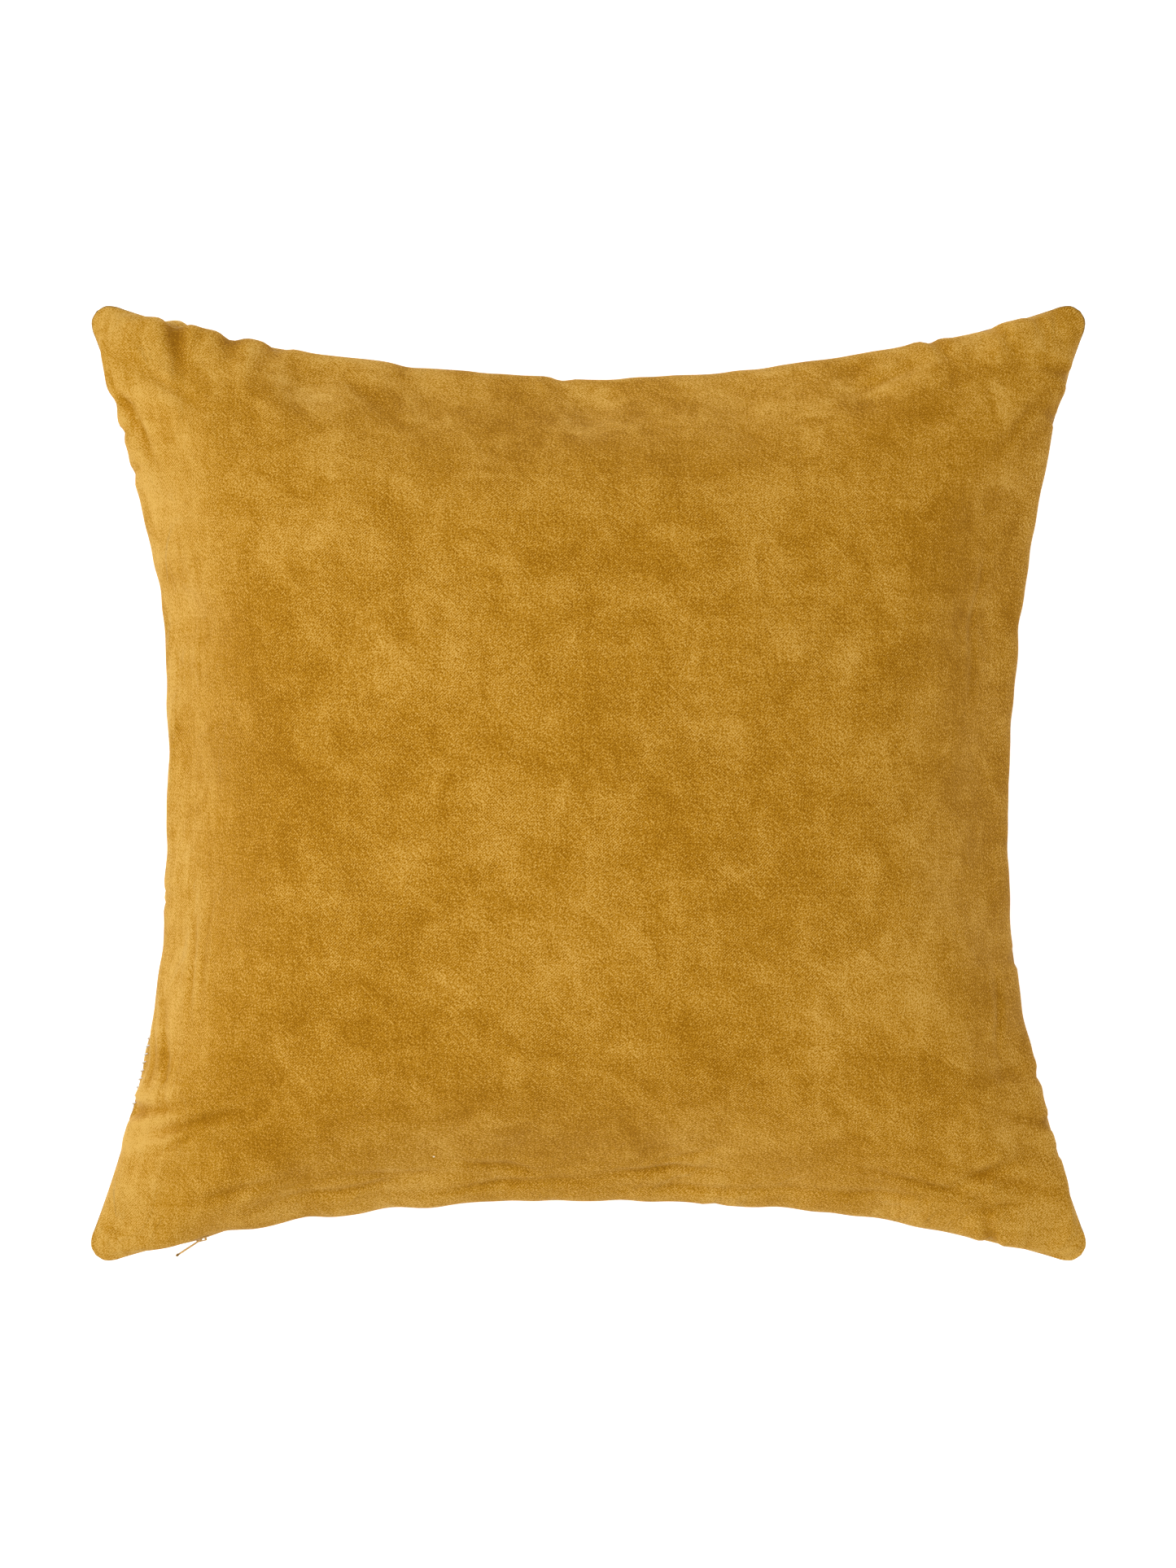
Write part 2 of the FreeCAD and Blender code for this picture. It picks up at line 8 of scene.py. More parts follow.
# %% Load the frame
import json
import math
import bmesh
import bpy
import numpy as np
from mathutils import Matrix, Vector


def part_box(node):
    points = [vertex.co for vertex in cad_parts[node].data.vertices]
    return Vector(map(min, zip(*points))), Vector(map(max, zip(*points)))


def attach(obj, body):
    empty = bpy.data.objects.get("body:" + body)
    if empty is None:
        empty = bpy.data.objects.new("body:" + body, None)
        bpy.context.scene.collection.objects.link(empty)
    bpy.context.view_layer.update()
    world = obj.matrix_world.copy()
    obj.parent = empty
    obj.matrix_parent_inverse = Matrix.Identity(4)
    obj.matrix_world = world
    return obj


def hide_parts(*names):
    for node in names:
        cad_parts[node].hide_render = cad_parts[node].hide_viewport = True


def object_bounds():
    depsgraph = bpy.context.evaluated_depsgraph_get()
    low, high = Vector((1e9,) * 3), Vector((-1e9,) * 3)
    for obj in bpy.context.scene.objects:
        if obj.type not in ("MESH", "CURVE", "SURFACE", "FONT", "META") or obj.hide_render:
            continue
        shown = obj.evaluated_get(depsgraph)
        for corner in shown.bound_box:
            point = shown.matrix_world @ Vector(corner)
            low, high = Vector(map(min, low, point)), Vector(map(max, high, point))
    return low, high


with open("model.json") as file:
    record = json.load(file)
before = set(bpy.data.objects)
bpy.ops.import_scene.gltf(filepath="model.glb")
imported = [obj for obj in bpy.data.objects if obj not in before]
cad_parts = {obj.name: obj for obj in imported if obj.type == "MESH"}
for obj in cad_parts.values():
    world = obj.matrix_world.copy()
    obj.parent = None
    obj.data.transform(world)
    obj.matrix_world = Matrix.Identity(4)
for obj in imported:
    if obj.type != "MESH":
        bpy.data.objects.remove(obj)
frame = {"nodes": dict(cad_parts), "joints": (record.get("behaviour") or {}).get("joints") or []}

cad_low, cad_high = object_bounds()
scene = bpy.context.scene
MM = 0.001


def mm(metres, digits=1):
    """Metres as rounded millimetres, for printing."""
    return np.round(np.array(metres, float) / MM, digits).tolist()


print("CAD box, mm:", mm([cad_low, cad_high]))

# %% [markdown]
# ## Where the seams run
#
# Each seam of a filled cover bows in between its two corners, because the panels give up width to
# rise over the filling. The zip seam is a true circle, since its slider turns about the circle's
# centre, which the frame gives as the joint's place. The other three are arcs through the same
# corners, and a small circle that touches the two arcs beside it rounds each corner tip. Arcs keep
# the outline to a few sizes, where a drawn curve would need many points.

# %% Seam sizes
CORNER_X = 251 * MM
CORNER_Y = 240.5 * MM
TOP_PULL = 45 * MM
SIDE_PULL = 48 * MM
TIP_RADIUS = 9 * MM
seam_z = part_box("cover_back_panel")[1][2]
slider_joint = next(joint for joint in frame["joints"] if joint["name"] == "zip_slider_travel")
zip_centre = np.array(slider_joint["pos_m"][:2])
zip_radius = math.hypot(CORNER_X, CORNER_Y + zip_centre[1])
ZIP_PULL = CORNER_Y + zip_centre[1] + zip_radius
print("seam plane, zip radius and zip's pull, mm:", mm([seam_z, zip_radius, ZIP_PULL], 2))


# %% The circles behind the four sides
def side_circle(half_chord, reach, pull, towards):
    """Centre and radius of one side's arc: half its chord, how far out its corners are, and its pull."""
    radius = (half_chord ** 2 + pull ** 2) / (2 * pull)
    return np.array(towards) * (reach - pull + radius), radius


ZIP, RIGHT, TOP, LEFT = range(4)
circles = (side_circle(CORNER_X, CORNER_Y, ZIP_PULL, (0, -1)),
           side_circle(CORNER_Y, CORNER_X, SIDE_PULL, (1, 0)),
           side_circle(CORNER_X, CORNER_Y, TOP_PULL, (0, 1)),
           side_circle(CORNER_Y, CORNER_X, SIDE_PULL, (-1, 0)))


def crossing(first, second, inset):
    """Where two sides cross after both move in by inset, on the pillow's side of their centres."""
    (centre_a, radius_a), (centre_b, radius_b) = circles[first], circles[second]
    radius_a, radius_b = radius_a + inset, radius_b + inset
    gap = centre_b - centre_a
    span = np.hypot(*gap)
    along = (radius_a ** 2 - radius_b ** 2 + span ** 2) / (2 * span)
    foot = centre_a + gap / span * along
    across = np.array([-gap[1], gap[0]]) / span * math.sqrt(radius_a ** 2 - along ** 2)
    return min((foot + across, foot - across), key=lambda place: np.hypot(*place))


def unit(vectors):
    return vectors / np.hypot.reduce(vectors, axis=-1, keepdims=True)


def length_along(line):
    """Distance from a line's start to each of its points."""
    return np.concatenate([[0], np.cumsum(np.hypot.reduce(np.diff(line, axis=0), axis=1))])


def read_line(line, along, at):
    """Points of a line where its values along it are those of at."""
    return np.stack([np.interp(at, along, column) for column in line.T], -1)


def half_tip(side, neighbour, inset, tip):
    """From the middle of a rounded tip to where the side begins."""
    middle = crossing(side, neighbour, inset + tip)
    first, second = unit(np.array([circles[side][0], circles[neighbour][0]]) - middle)
    share = np.linspace(0, 1, 9)[:, None]
    turned = (first + second) * (1 - share) / np.hypot(*(first + second)) + first * share
    return middle + tip * turned / np.hypot(*turned.T)[:, None]


def arc(side, start, end, inset, shares):
    """Points of a side's circle after it moves in by inset, at shares of the way between two places."""
    centre, radius = circles[side]
    first, last = [math.atan2(*(place - centre)[::-1]) for place in (start, end)]
    angles = first + shares * math.remainder(last - first, 2 * math.pi)
    return centre + (radius + inset) * np.stack([np.cos(angles), np.sin(angles)], 1)


def side_line(side, shares, inset=0.0, tip=TIP_RADIUS):
    """Points on one side, where -1 and 1 are the middles of its two tips, evenly by length."""
    first = half_tip(side, (side + 3) % 4, inset, tip)
    last = half_tip(side, (side + 1) % 4, inset, tip)[::-1]
    middle = arc(side, first[-1], last[0], inset, np.linspace(0, 1, 121))
    line = np.concatenate([first[:-1], middle, last[1:]])
    length = length_along(line)
    return read_line(line, length, (np.asarray(shares) + 1) / 2 * length[-1])


def plan_at(u, v, inset=0.0, tip=TIP_RADIUS):
    """Plan points inside the outline: u runs from left to right and v from the zip to the top, -1 to 1."""
    a, b = ((1 + u) / 2)[..., None], ((1 + v) / 2)[..., None]
    zip_side, top = side_line(ZIP, u, inset, tip), side_line(TOP, -u, inset, tip)
    left, right = side_line(LEFT, -v, inset, tip), side_line(RIGHT, v, inset, tip)
    zip_left, zip_right = side_line(ZIP, [-1, 1], inset, tip)
    top_right, top_left = side_line(TOP, [-1, 1], inset, tip)
    corners = (zip_left * (1 - a) + zip_right * a) * (1 - b) + (top_left * (1 - a) + top_right * a) * b
    return zip_side * (1 - b) + top * b + left * (1 - a) + right * a - corners


print("corner tips, mm:", mm([side_line(side, [-1])[0] for side in range(4)]))

# %% [markdown]
# ## Filling the cover
#
# Each panel was cut as a flat square, and the filling blows it up like a bag. The seams then have to
# be shorter than the cloth beside them, which is why real pillows gather at their edges. A modelled
# dome shows none of that, so this is a cloth simulation: both panels start as smooth domes inside the
# pulled-in outline and are pinned along it, while the cloth grows by a few hundredths, most of all
# beside the seams. Pressure stands for the filling. The spare cloth has nowhere to go but into folds.

# %% The two panels as smooth domes
CROWN = cad_high[2] - seam_z
UNDER = 92 * MM
SECTION_POINTS = 361


def even_shares(steps, rise):
    """Shares across a dome section of a given rise, where its cloth is evenly spaced."""
    turn = np.linspace(-math.pi / 2, math.pi / 2, SECTION_POINTS)
    path = np.stack([np.sin(turn), rise * np.cos(turn)], 1)
    length = length_along(path)
    return np.interp(np.linspace(0, length[-1], steps + 1), length, path[:, 0])


def dome_shares(steps):
    """Where a net's points lie between the seams, from left to right and from the zip to the top."""
    rise = CROWN / (CORNER_X - SIDE_PULL)
    middle = even_shares(steps, rise)
    u = np.stack([even_shares(steps, rise * math.sqrt(1 - share ** 2)) for share in middle], 1)
    return u, u.T


def domes(steps):
    """Front and back net."""
    u, v = dome_shares(steps)
    height = np.sqrt((1 - u ** 2) * (1 - v ** 2))
    plan = plan_at(u, v)
    return np.dstack([plan, seam_z + CROWN * height]), np.dstack([plan, seam_z - UNDER * height])


def numbered(net):
    """A number for each point of a net, in rows and columns."""
    return np.arange(net[..., 0].size).reshape(net.shape[:2])


def net_faces(number, outwards=True):
    """Quads over a net of vertex numbers."""
    corners = (number[:-1, :-1], number[1:, :-1], number[1:, 1:], number[:-1, 1:])
    quads = np.stack(corners, -1).reshape(-1, 4)
    return quads if outwards else quads[:, ::-1]


def seam_distance(steps):
    """How far each point of a net is from its nearest seam, from 0 at a seam to 1 in the middle."""
    away = 1 - np.abs(np.linspace(-1, 1, steps + 1))
    return np.minimum(away[:, None], away[None, :])


# %% Let the cloth settle
def add(name, data):
    """A new object in the scene."""
    made = bpy.data.objects.new(name, data)
    scene.collection.objects.link(made)
    return made


CLOTH_STEPS = 96
SETTLE_FRAMES = 28
SPARE_AT_SEAM = 0.04
SPARE_IN_MIDDLE = 0.01
GATHER_REACH = 0.3
VELVET_AS_CLOTH = {"quality": 6, "mass": 0.02, "tension_stiffness": 15, "compression_stiffness": 15,
                   "shear_stiffness": 5, "bending_stiffness": 0.8, "air_damping": 1,
                   "use_pressure": True, "uniform_pressure_force": 1.5,
                   "vertex_group_mass": "seam", "vertex_group_shrink": "plain",
                   "shrink_min": -SPARE_AT_SEAM, "shrink_max": -SPARE_IN_MIDDLE}


def settle(front, back):
    """Runs the cloth from the domes and gives both nets back."""
    steps = len(front) - 1
    away = seam_distance(steps)
    inside = away > 0
    front_number = numbered(front)
    back_number = front_number.copy()
    back_number[inside] = away.size + np.arange(inside.sum())
    start = np.concatenate([front.reshape(-1, 3), back[inside]])
    faces = np.concatenate([net_faces(front_number), net_faces(back_number, False)])
    mesh = bpy.data.meshes.new("settling")
    mesh.from_pydata(start.tolist(), [], faces.tolist())
    cloth = add("settling", mesh)
    cloth.vertex_groups.new(name="seam").add(front_number[~inside].tolist(), 1.0, "REPLACE")
    plain = cloth.vertex_groups.new(name="plain")
    shares = np.minimum(away / GATHER_REACH, 1).ravel().tolist()
    for number in (front_number, back_number):
        for vertex, share in zip(number.ravel().tolist(), shares):
            plain.add([vertex], share, "REPLACE")
    modifier = cloth.modifiers.new("filling", "CLOTH")
    for name, value in VELVET_AS_CLOTH.items():
        setattr(modifier.settings, name, value)
    modifier.settings.effector_weights.gravity = 0
    modifier.collision_settings.use_collision = False
    modifier.point_cache.frame_end = SETTLE_FRAMES
    for number in range(1, SETTLE_FRAMES + 1):
        scene.frame_set(number)
    settled = cloth.evaluated_get(bpy.context.evaluated_depsgraph_get()).to_mesh()
    places = np.empty(len(start) * 3)
    settled.vertices.foreach_get("co", places)
    places = places.reshape(-1, 3)
    bpy.data.objects.remove(cloth)
    bpy.data.meshes.remove(mesh)
    scene.frame_set(1)
    return places[front_number], places[back_number]


front_net, back_net = domes(CLOTH_STEPS)
front_net, back_net = settle(front_net, back_net)
for net in (front_net, back_net):
    print("panel from and to, mm:", mm([net.min((0, 1)), net.max((0, 1))]))

# %% [markdown]
# ## From a coarse net to smooth velvet
#
# The simulation runs on cells of about five millimetres, which is as fine as its time allows. The
# finished panel needs more points where the cloth turns over at its seams, and fewer in the middle.
# So the settled net is read again through a smooth curve in both directions, at places that crowd
# towards the seams. A subdivision modifier would add as many points everywhere.

# %% A finer net
FINE_STEPS = 200
CROWDING = 0.45


EASE_PASSES = 5
even = np.linspace(-1, 1, FINE_STEPS + 1)
on_cut = (1 - CROWDING) * even + CROWDING * np.sin(even * math.pi / 2)


def smooth_read(net, places):
    """Reads rows of a net at places from -1 to 1, on a smooth curve through every point."""
    last = len(net) - 1
    at = (places + 1) / 2 * last
    cell = np.clip(at.astype(int), 0, last - 1)
    padded = np.concatenate([2 * net[:1] - net[1:2], net, 2 * net[-1:] - net[-2:-1]])
    t = (at - cell).reshape(-1, *[1] * (net.ndim - 1))
    before, here, following, beyond = [padded[cell + k] for k in range(4)]
    bend = 2 * here - 2 * following + (following - before + beyond - here) / 2
    turn = 3 * (following - here) - (2 * (following - before) + beyond - here) / 2
    return here + t * ((following - before) / 2 + t * (turn + t * bend))


def refine(net):
    rows = smooth_read(net, on_cut)
    return smooth_read(rows.transpose(1, 0, 2), on_cut).transpose(1, 0, 2)


def ease(net):
    """Irons out ripples of two or three cells, which are only the net's own, and leaves the seam alone."""
    for _ in range(EASE_PASSES):
        inner = net[1:-1, 1:-1]
        beside = net[:-2, 1:-1] + net[2:, 1:-1] + net[1:-1, :-2] + net[1:-1, 2:]
        net[1:-1, 1:-1] = inner / 2 + beside / 8


for net in (front_net, back_net):
    ease(net)
front_skin, back_skin = refine(front_net), refine(back_net)
print("the fine net has", on_cut.size, "by", on_cut.size, "points")

# %% [markdown]
# ## Edges that roll over the seams
#
# On a filled pillow the seam sits in a groove: the cloth on both sides bulges past it, more in the
# middle of a side than near its tips. Seen from above that bulge is the outline. It is added as one
# smooth push outwards that starts at nothing on the seam, is greatest a finger's width up the cloth
# and dies away, because the simulation holds the seam itself still. A hand's pull here and there
# makes it uneven, so each side has its own seven sizes, read through a smooth curve.

# %% Distances over the cut cloth, and the roll
HALF_CUT = 250 * MM
cut_u, cut_v = np.meshgrid(on_cut * HALF_CUT, on_cut * HALF_CUT, indexing="ij")
OUTWARDS = {ZIP: (0, -1), RIGHT: (1, 0), TOP: (0, 1), LEFT: (-1, 0)}
from_seam = {ZIP: HALF_CUT + cut_v, RIGHT: HALF_CUT - cut_u, TOP: HALF_CUT - cut_v, LEFT: HALF_CUT + cut_u}
nearest_seam = np.minimum.reduce(list(from_seam.values()))
along_side = {ZIP: cut_u, RIGHT: cut_v, TOP: cut_u, LEFT: cut_v}
ROLL_PEAK = 13 * MM
TIP_FADE = 28 * MM
ROLLS_MM = {ZIP: (3.0, 5.6, 7.3, 8.5, 7.2, 4.6, 2.8), RIGHT: (2.2, 4.1, 3.4, 7.0, 8.2, 5.6, 2.0),
            TOP: (2.8, 5.8, 7.4, 6.8, 6.2, 6.0, 2.4), LEFT: (0.4, 1.8, 4.3, 7.7, 4.1, 5.2, 6.0)}


def eased(share):
    """0 to 1 with a soft start and a soft end, and held there beyond them."""
    share = np.clip(share, 0, 1)
    return share ** 2 * (3 - 2 * share)


def roll(skin):
    """Pushes the cloth beside each seam outwards, but leaves the rounded tips alone."""
    for side, (x, y) in OUTWARDS.items():
        near = from_seam[side] / ROLL_PEAK
        sizes = smooth_read(np.array(ROLLS_MM[side]) * MM, (along_side[side] / HALF_CUT).ravel())
        fade = eased((HALF_CUT - np.abs(along_side[side])) / TIP_FADE)
        push = (near * np.exp(1 - near)) ** 2 * sizes.reshape(near.shape) * fade
        skin[..., 0] += x * push
        skin[..., 1] += y * push


roll(front_skin)
roll(back_skin)

# %% [markdown]
# ## Puckers and creases
#
# A stitched edge catches the cloth unevenly, so a few short folds start at the seam and fade out
# within a thumb's width. Each is a groove between two low ridges, because cloth that goes down in one
# place comes up beside it. Longer soft creases lie where the pillow has been squeezed. They are placed
# on the cut cloth, one bracket of numbers each, as a dressmaker would pinch them.

# %% Folds pressed along the cloth's own normals
RIDGES = 1.3


def cloth_normals(skin, outwards):
    across = np.gradient(skin, axis=0)
    up = np.gradient(skin, axis=1)
    return unit(np.cross(across, up)) * (1 if outwards else -1)


def fold_shape(distance, width):
    """A groove of depth one with a low ridge on each side."""
    t = (distance / width) ** 2
    return (1 - RIDGES * t) * np.exp(-t)


def pucker(depths, side, place, width, reach, depth, lean):
    """Adds a fold that starts at a seam; lean moves it sideways as it leaves the seam."""
    near = from_seam[side] / reach
    off = along_side[side] - place - lean * from_seam[side]
    depths += depth * fold_shape(off, width) * near * np.exp(1 - near)


def crease(depths, start, end, width, depth):
    """Adds a soft groove between two places on the cut cloth."""
    run = end - start
    length = np.hypot(*run)
    t = ((cut_u - start[0]) * run[0] + (cut_v - start[1]) * run[1]) / length ** 2
    off = ((cut_u - start[0]) * run[1] - (cut_v - start[1]) * run[0]) / length
    ends = np.clip(t, 0, 1)
    fade = np.exp(-((t - ends) * length / (3 * width)) ** 2) * (0.4 + 0.6 * np.sin(np.pi * ends))
    depths += depth * fold_shape(off, width) * fade


# by side: place along it, width, reach up the cloth, depth and lean
FRONT_PUCKERS = {
    TOP: ((-208, 7, 12, 3.0, 0.2), (-178, 7, 10, 1.8, 0.1), (-152, 7, 12, 1.7, -0.2),
        (-90, 9, 14, 0.5, 0.0), (-13, 6, 9, 0.7, 0.0), (60, 12, 16, 0.6, 0.2), (166, 5, 9, 1.4, 0.3),
        (196, 6, 9, 1.0, 0.5), (222, 5, 7, 0.8, 0.2)),
    LEFT: ((200, 7, 10, 1.2, -0.4), (182, 4, 6, 1.0, -0.1), (158, 5, 8, 1.0, 0.1),
        (100, 12, 16, 0.6, 0.1), (20, 14, 16, 0.7, 0.0), (-58, 6, 8, 1.0, 0.0),
        (-144, 17, 11, 2.2, 0.0), (-170, 6, 12, 3.4, 0.2), (-184, 9, 12, -1.2, 0.0)),
    RIGHT: ((210, 6, 9, 1.4, 0.2), (186, 4, 8, 0.9, 0.2), (80, 12, 14, 0.5, 0.0),
        (-90, 5, 9, 1.1, 0.1), (-152, 5, 8, 1.0, 0.2), (-178, 5, 12, 1.6, 0.3), (-192, 4, 6, 0.8, 0.0)),
    ZIP: ((203, 5, 9, 1.6, -0.3), (60, 5, 7, 0.6, 0.2), (-60, 14, 12, 0.6, 0.1),
        (120, 14, 12, 0.5, 0.0), (-140, 12, 12, 0.6, 0.2))}
BACK_PUCKERS = {
    TOP: ((-206, 10, 12, -2.6, 0.1), (100, 14, 14, 0.8, 0.0)),
    LEFT: ((-58, 9, 10, -2.0, 0.0), (-140, 14, 10, -0.6, 0.0), (-174, 8, 10, -1.4, 0.0),
        (90, 12, 14, 1.0, 0.2)),
    RIGHT: ((30, 14, 14, 0.8, 0.0), (-150, 8, 12, 1.2, 0.2)),
    ZIP: ((40, 14, 14, 0.8, 0.0), (-120, 10, 12, 0.8, 0.0))}
# where each crease starts and ends on the cut cloth, its width and its depth
FRONT_CREASES = (
    (186, -198, 231, -211, 6, 1.0), (150, -204, 206, -218, 2.6, 0.6), (122, -199, 188, -211, 3, 0.45),
    (166, -212, 214, -225, 2.2, 0.5), (-236, 205, -222, 160, 4, 1.3), (-222, 214, -196, 196, 5, 0.8),
    (-214, -62, -207, -112, 3.5, 0.8), (-202, -70, -199, -118, 3, 0.5),
    (-228, -120, -218, -160, 4, 0.8), (-226, -178, -176, -164, 5, 1.3),
    (-222, -190, -188, -172, 4, 0.8), (-234, -150, -238, -120, 4, 0.6),
    (-190, -214, -150, -205, 5, 0.7), (-150, -222, -88, -216, 4, 0.7), (-118, -208, -70, -214, 4, 0.6),
    (-70, -226, 0, -222, 3.5, 0.7), (-62, -206, -20, -218, 4, 0.7), (6, -218, 60, -212, 3.5, 0.8),
    (22, -228, 92, -224, 3.5, 0.6), (40, -206, 58, -196, 3, 0.5), (104, -222, 168, -216, 4, 0.5),
    (178, -206, 222, -188, 5, 0.9), (188, -222, 220, -214, 4, 0.6), (206, -146, 228, -142, 5, 0.9),
    (218, -96, 214, -136, 4, 0.6), (206, 120, 204, 40, 4, 0.4), (226, 196, 206, 170, 6, 0.7),
    (-120, 226, -96, 200, 6, 0.5), (130, 214, 170, 226, 5, 0.6), (-40, -100, 30, -122, 6, 0.25),
    (64, -92, 96, -104, 3, 0.35), (40, -140, 100, -132, 7, 0.3))
PUCKER_STRENGTH = 1.3
CREASE_STRENGTH = 1.7
SEAM_KEEP = 3 * MM


def press_folds(skin, outwards, puckers, creases=()):
    """Moves a skin in by its folds, but holds the seam itself still, and gives their depths."""
    depths = np.zeros(skin.shape[:2])
    for side, folds in puckers.items():
        for place, width, reach, depth, lean in folds:
            pucker(depths, side, place * MM, width * MM, reach * MM, PUCKER_STRENGTH * depth * MM, lean)
    for *ends, width, depth in creases:
        crease(depths, *np.array(ends).reshape(2, 2) * MM, width * MM, CREASE_STRENGTH * depth * MM)
    skin -= cloth_normals(skin, outwards) * (depths * np.clip(nearest_seam / SEAM_KEEP, 0, 1))[..., None]
    return depths


front_folds = press_folds(front_skin, True, FRONT_PUCKERS, FRONT_CREASES)
back_folds = press_folds(back_skin, False, BACK_PUCKERS)
print("deepest folds, mm:", mm([front_folds.max(), back_folds.max()], 2))

# %% [markdown]
# ## Resting on the floor
#
# The pillow's own weight flattens its underside. Heights near the floor are bent into it along a
# smooth curve, which leaves a broad flat patch and no hard rim round it.

# %% Flatten the underside
REST_SOFTNESS = 7 * MM


def rest_on_floor(skin):
    low = skin[..., 2] < REST_SOFTNESS
    skin[low, 2] = REST_SOFTNESS * np.exp((skin[low, 2] - REST_SOFTNESS) / REST_SOFTNESS)


rest_on_floor(back_skin)
print("lowest point of the back, mm:", mm(back_skin[..., 2].min(), 3))
HALVES = (("front", front_skin, True), ("back", back_skin, False))

# %% Helpers for meshes
def make_piece(name, places, faces, slot, replaced=None):
    """A mesh object that rides on the cover and may stand for a CAD node. Its slot is not used."""
    mesh = bpy.data.meshes.new(name)
    faces = faces if isinstance(faces, list) else faces.tolist()
    mesh.from_pydata(np.asarray(places, float).reshape(-1, 3).tolist(), [], faces)
    mesh.validate()
    mesh.polygons.foreach_set("use_smooth", [True] * len(mesh.polygons))
    piece = add(name, mesh)
    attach(piece, "cover")
    if replaced:
        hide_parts(replaced)
    return piece


def finish_with(material, *pieces):
    for piece in pieces:
        piece.data.materials.clear()
        piece.data.materials.append(material)


def lay_flat(piece, flats):
    """Records where each point lay on the cut cloth, in metres, for the materials to read."""
    layer = piece.data.uv_layers.new(name="cut cloth")
    corners = np.empty(len(piece.data.loops), int)
    piece.data.loops.foreach_get("vertex_index", corners)
    layer.data.foreach_set("uv", np.asarray(flats)[corners].ravel())


def drop_loose(piece):
    """Joins points that lie on each other and removes points with no face."""
    work = bmesh.new()
    work.from_mesh(piece.data)
    bmesh.ops.remove_doubles(work, verts=work.verts, dist=1e-6)
    bmesh.ops.delete(work, geom=[point for point in work.verts if not point.link_faces], context="VERTS")
    work.to_mesh(piece.data)
    work.free()


def thicken(piece, thickness):
    """Gives a sheet its thickness, inwards from its outer face."""
    cloth = piece.modifiers.new("thickness", "SOLIDIFY")
    cloth.thickness = thickness
    cloth.offset = -1


# %% [markdown]
# ## One cloth from crown to raw edge
#
# A panel doesn't end at its seam. It turns in there and runs on for a seam allowance, and at the zip
# it folds back up inside itself as a lip. Both could be separate strips, but then the fold would
# show a slit. So each strip is sewn on to the net's own border points and the whole panel gets its
# thickness afterwards, inwards from the pile.

# %% Strips past the border of a net
ALLOWANCE = 12 * MM
ZIP_SIDE_REACH = 15 * MM
STEP_NUMBERS = np.arange(FINE_STEPS + 1)


def border(side):
    """Column and row numbers of a side's points on the fine net, from its first tip to its last."""
    low, high = 0 * STEP_NUMBERS, 0 * STEP_NUMBERS + FINE_STEPS
    return {ZIP: (STEP_NUMBERS, low), RIGHT: (high, STEP_NUMBERS),
            TOP: (STEP_NUMBERS[::-1], high), LEFT: (low, STEP_NUMBERS[::-1])}[side]


class Panel:
    """Points, faces and cut-cloth places of one panel, which grows by strips."""

    def __init__(self, skin, up, across=cut_u, along=cut_v):
        self.up = up
        self.number = numbered(skin)
        self.places = skin.reshape(-1, 3)
        self.flats = np.stack([across.ravel(), along.ravel()], 1)
        self.faces = net_faces(self.number, up)

    def strip(self, first, rows, flats, keep=None):
        """Sews rows of points on to a run of points; their faces look away from this panel's side."""
        start = len(self.places)
        self.places = np.concatenate([self.places, *rows])
        self.flats = np.concatenate([self.flats, *flats])
        added = start + np.arange(len(rows) * len(first)).reshape(len(rows), -1)
        number = np.concatenate([first[None], added])
        quads = net_faces(number)
        if keep is not None:
            quads = quads[keep(self.places[quads]).all(1)]
        a, b, c = self.places[quads[len(quads) // 2, :3]]
        looks_up = np.cross(b - a, c - b)[2] > 0
        self.faces = np.concatenate([self.faces, quads[:, ::-1] if looks_up == self.up else quads])


def inset_arc(side, inset):
    """A side's arc between the crossings with its inset neighbours, one point for each border point."""
    ends = [crossing(side, (side + turn) % 4, inset) for turn in (3, 1)]
    return arc(side, *ends, inset, (on_cut + 1) / 2)


def past_zip_seam(places):
    return np.linalg.norm(places[..., :2] - zip_centre, axis=-1) > zip_radius + ZIP_SIDE_REACH


def sew_allowance(panel, side):
    first = panel.number[border(side)]
    seam, flat = panel.places[first], panel.flats[first]
    raw_edge = np.column_stack([inset_arc(side, ALLOWANCE), seam[:, 2]])
    shares = (1 / 3, 2 / 3, 1)
    panel.strip(first, [seam + (raw_edge - seam) * share for share in shares],
                [flat + np.array(OUTWARDS[side]) * ALLOWANCE * share for share in shares], past_zip_seam)


# %% The lips of the zip
MOUTH_HALF = 204 * MM
MOUTH_END = 8 * MM
LIP_HEIGHT = 1.1 * MM
LIP_FADE = 6
# the fold of a lip: how far in from the seam, and how high above the seam plane
LIP_FOLD = ((0.35, 0.87), (1.2, 0.8), (2.1, 0.9), (2.42, 1.4))
TURN_IN_INSET = 2.45 * MM
TURN_IN_WIDTH = 14 * MM
in_from_zip = unit(front_skin[:, 0, :2] - zip_centre)
mouth_share = eased((MOUTH_HALF + MOUTH_END / 2 - np.abs(front_skin[:, 0, 0])) / MOUTH_END)
in_mouth = np.flatnonzero(np.abs(front_skin[:, 0, 0]) < MOUTH_HALF + MOUTH_END)
turn_in_rows = np.flatnonzero(from_seam[ZIP][0] < TURN_IN_WIDTH)[1:]


def open_lips(skin, up):
    """Lifts the zip border off the seam plane, so that the two lips leave a slot."""
    sign = 1 if up else -1
    for row in range(LIP_FADE):
        skin[:, row, 2] += sign * LIP_HEIGHT * mouth_share * (1 - row / LIP_FADE) ** 2


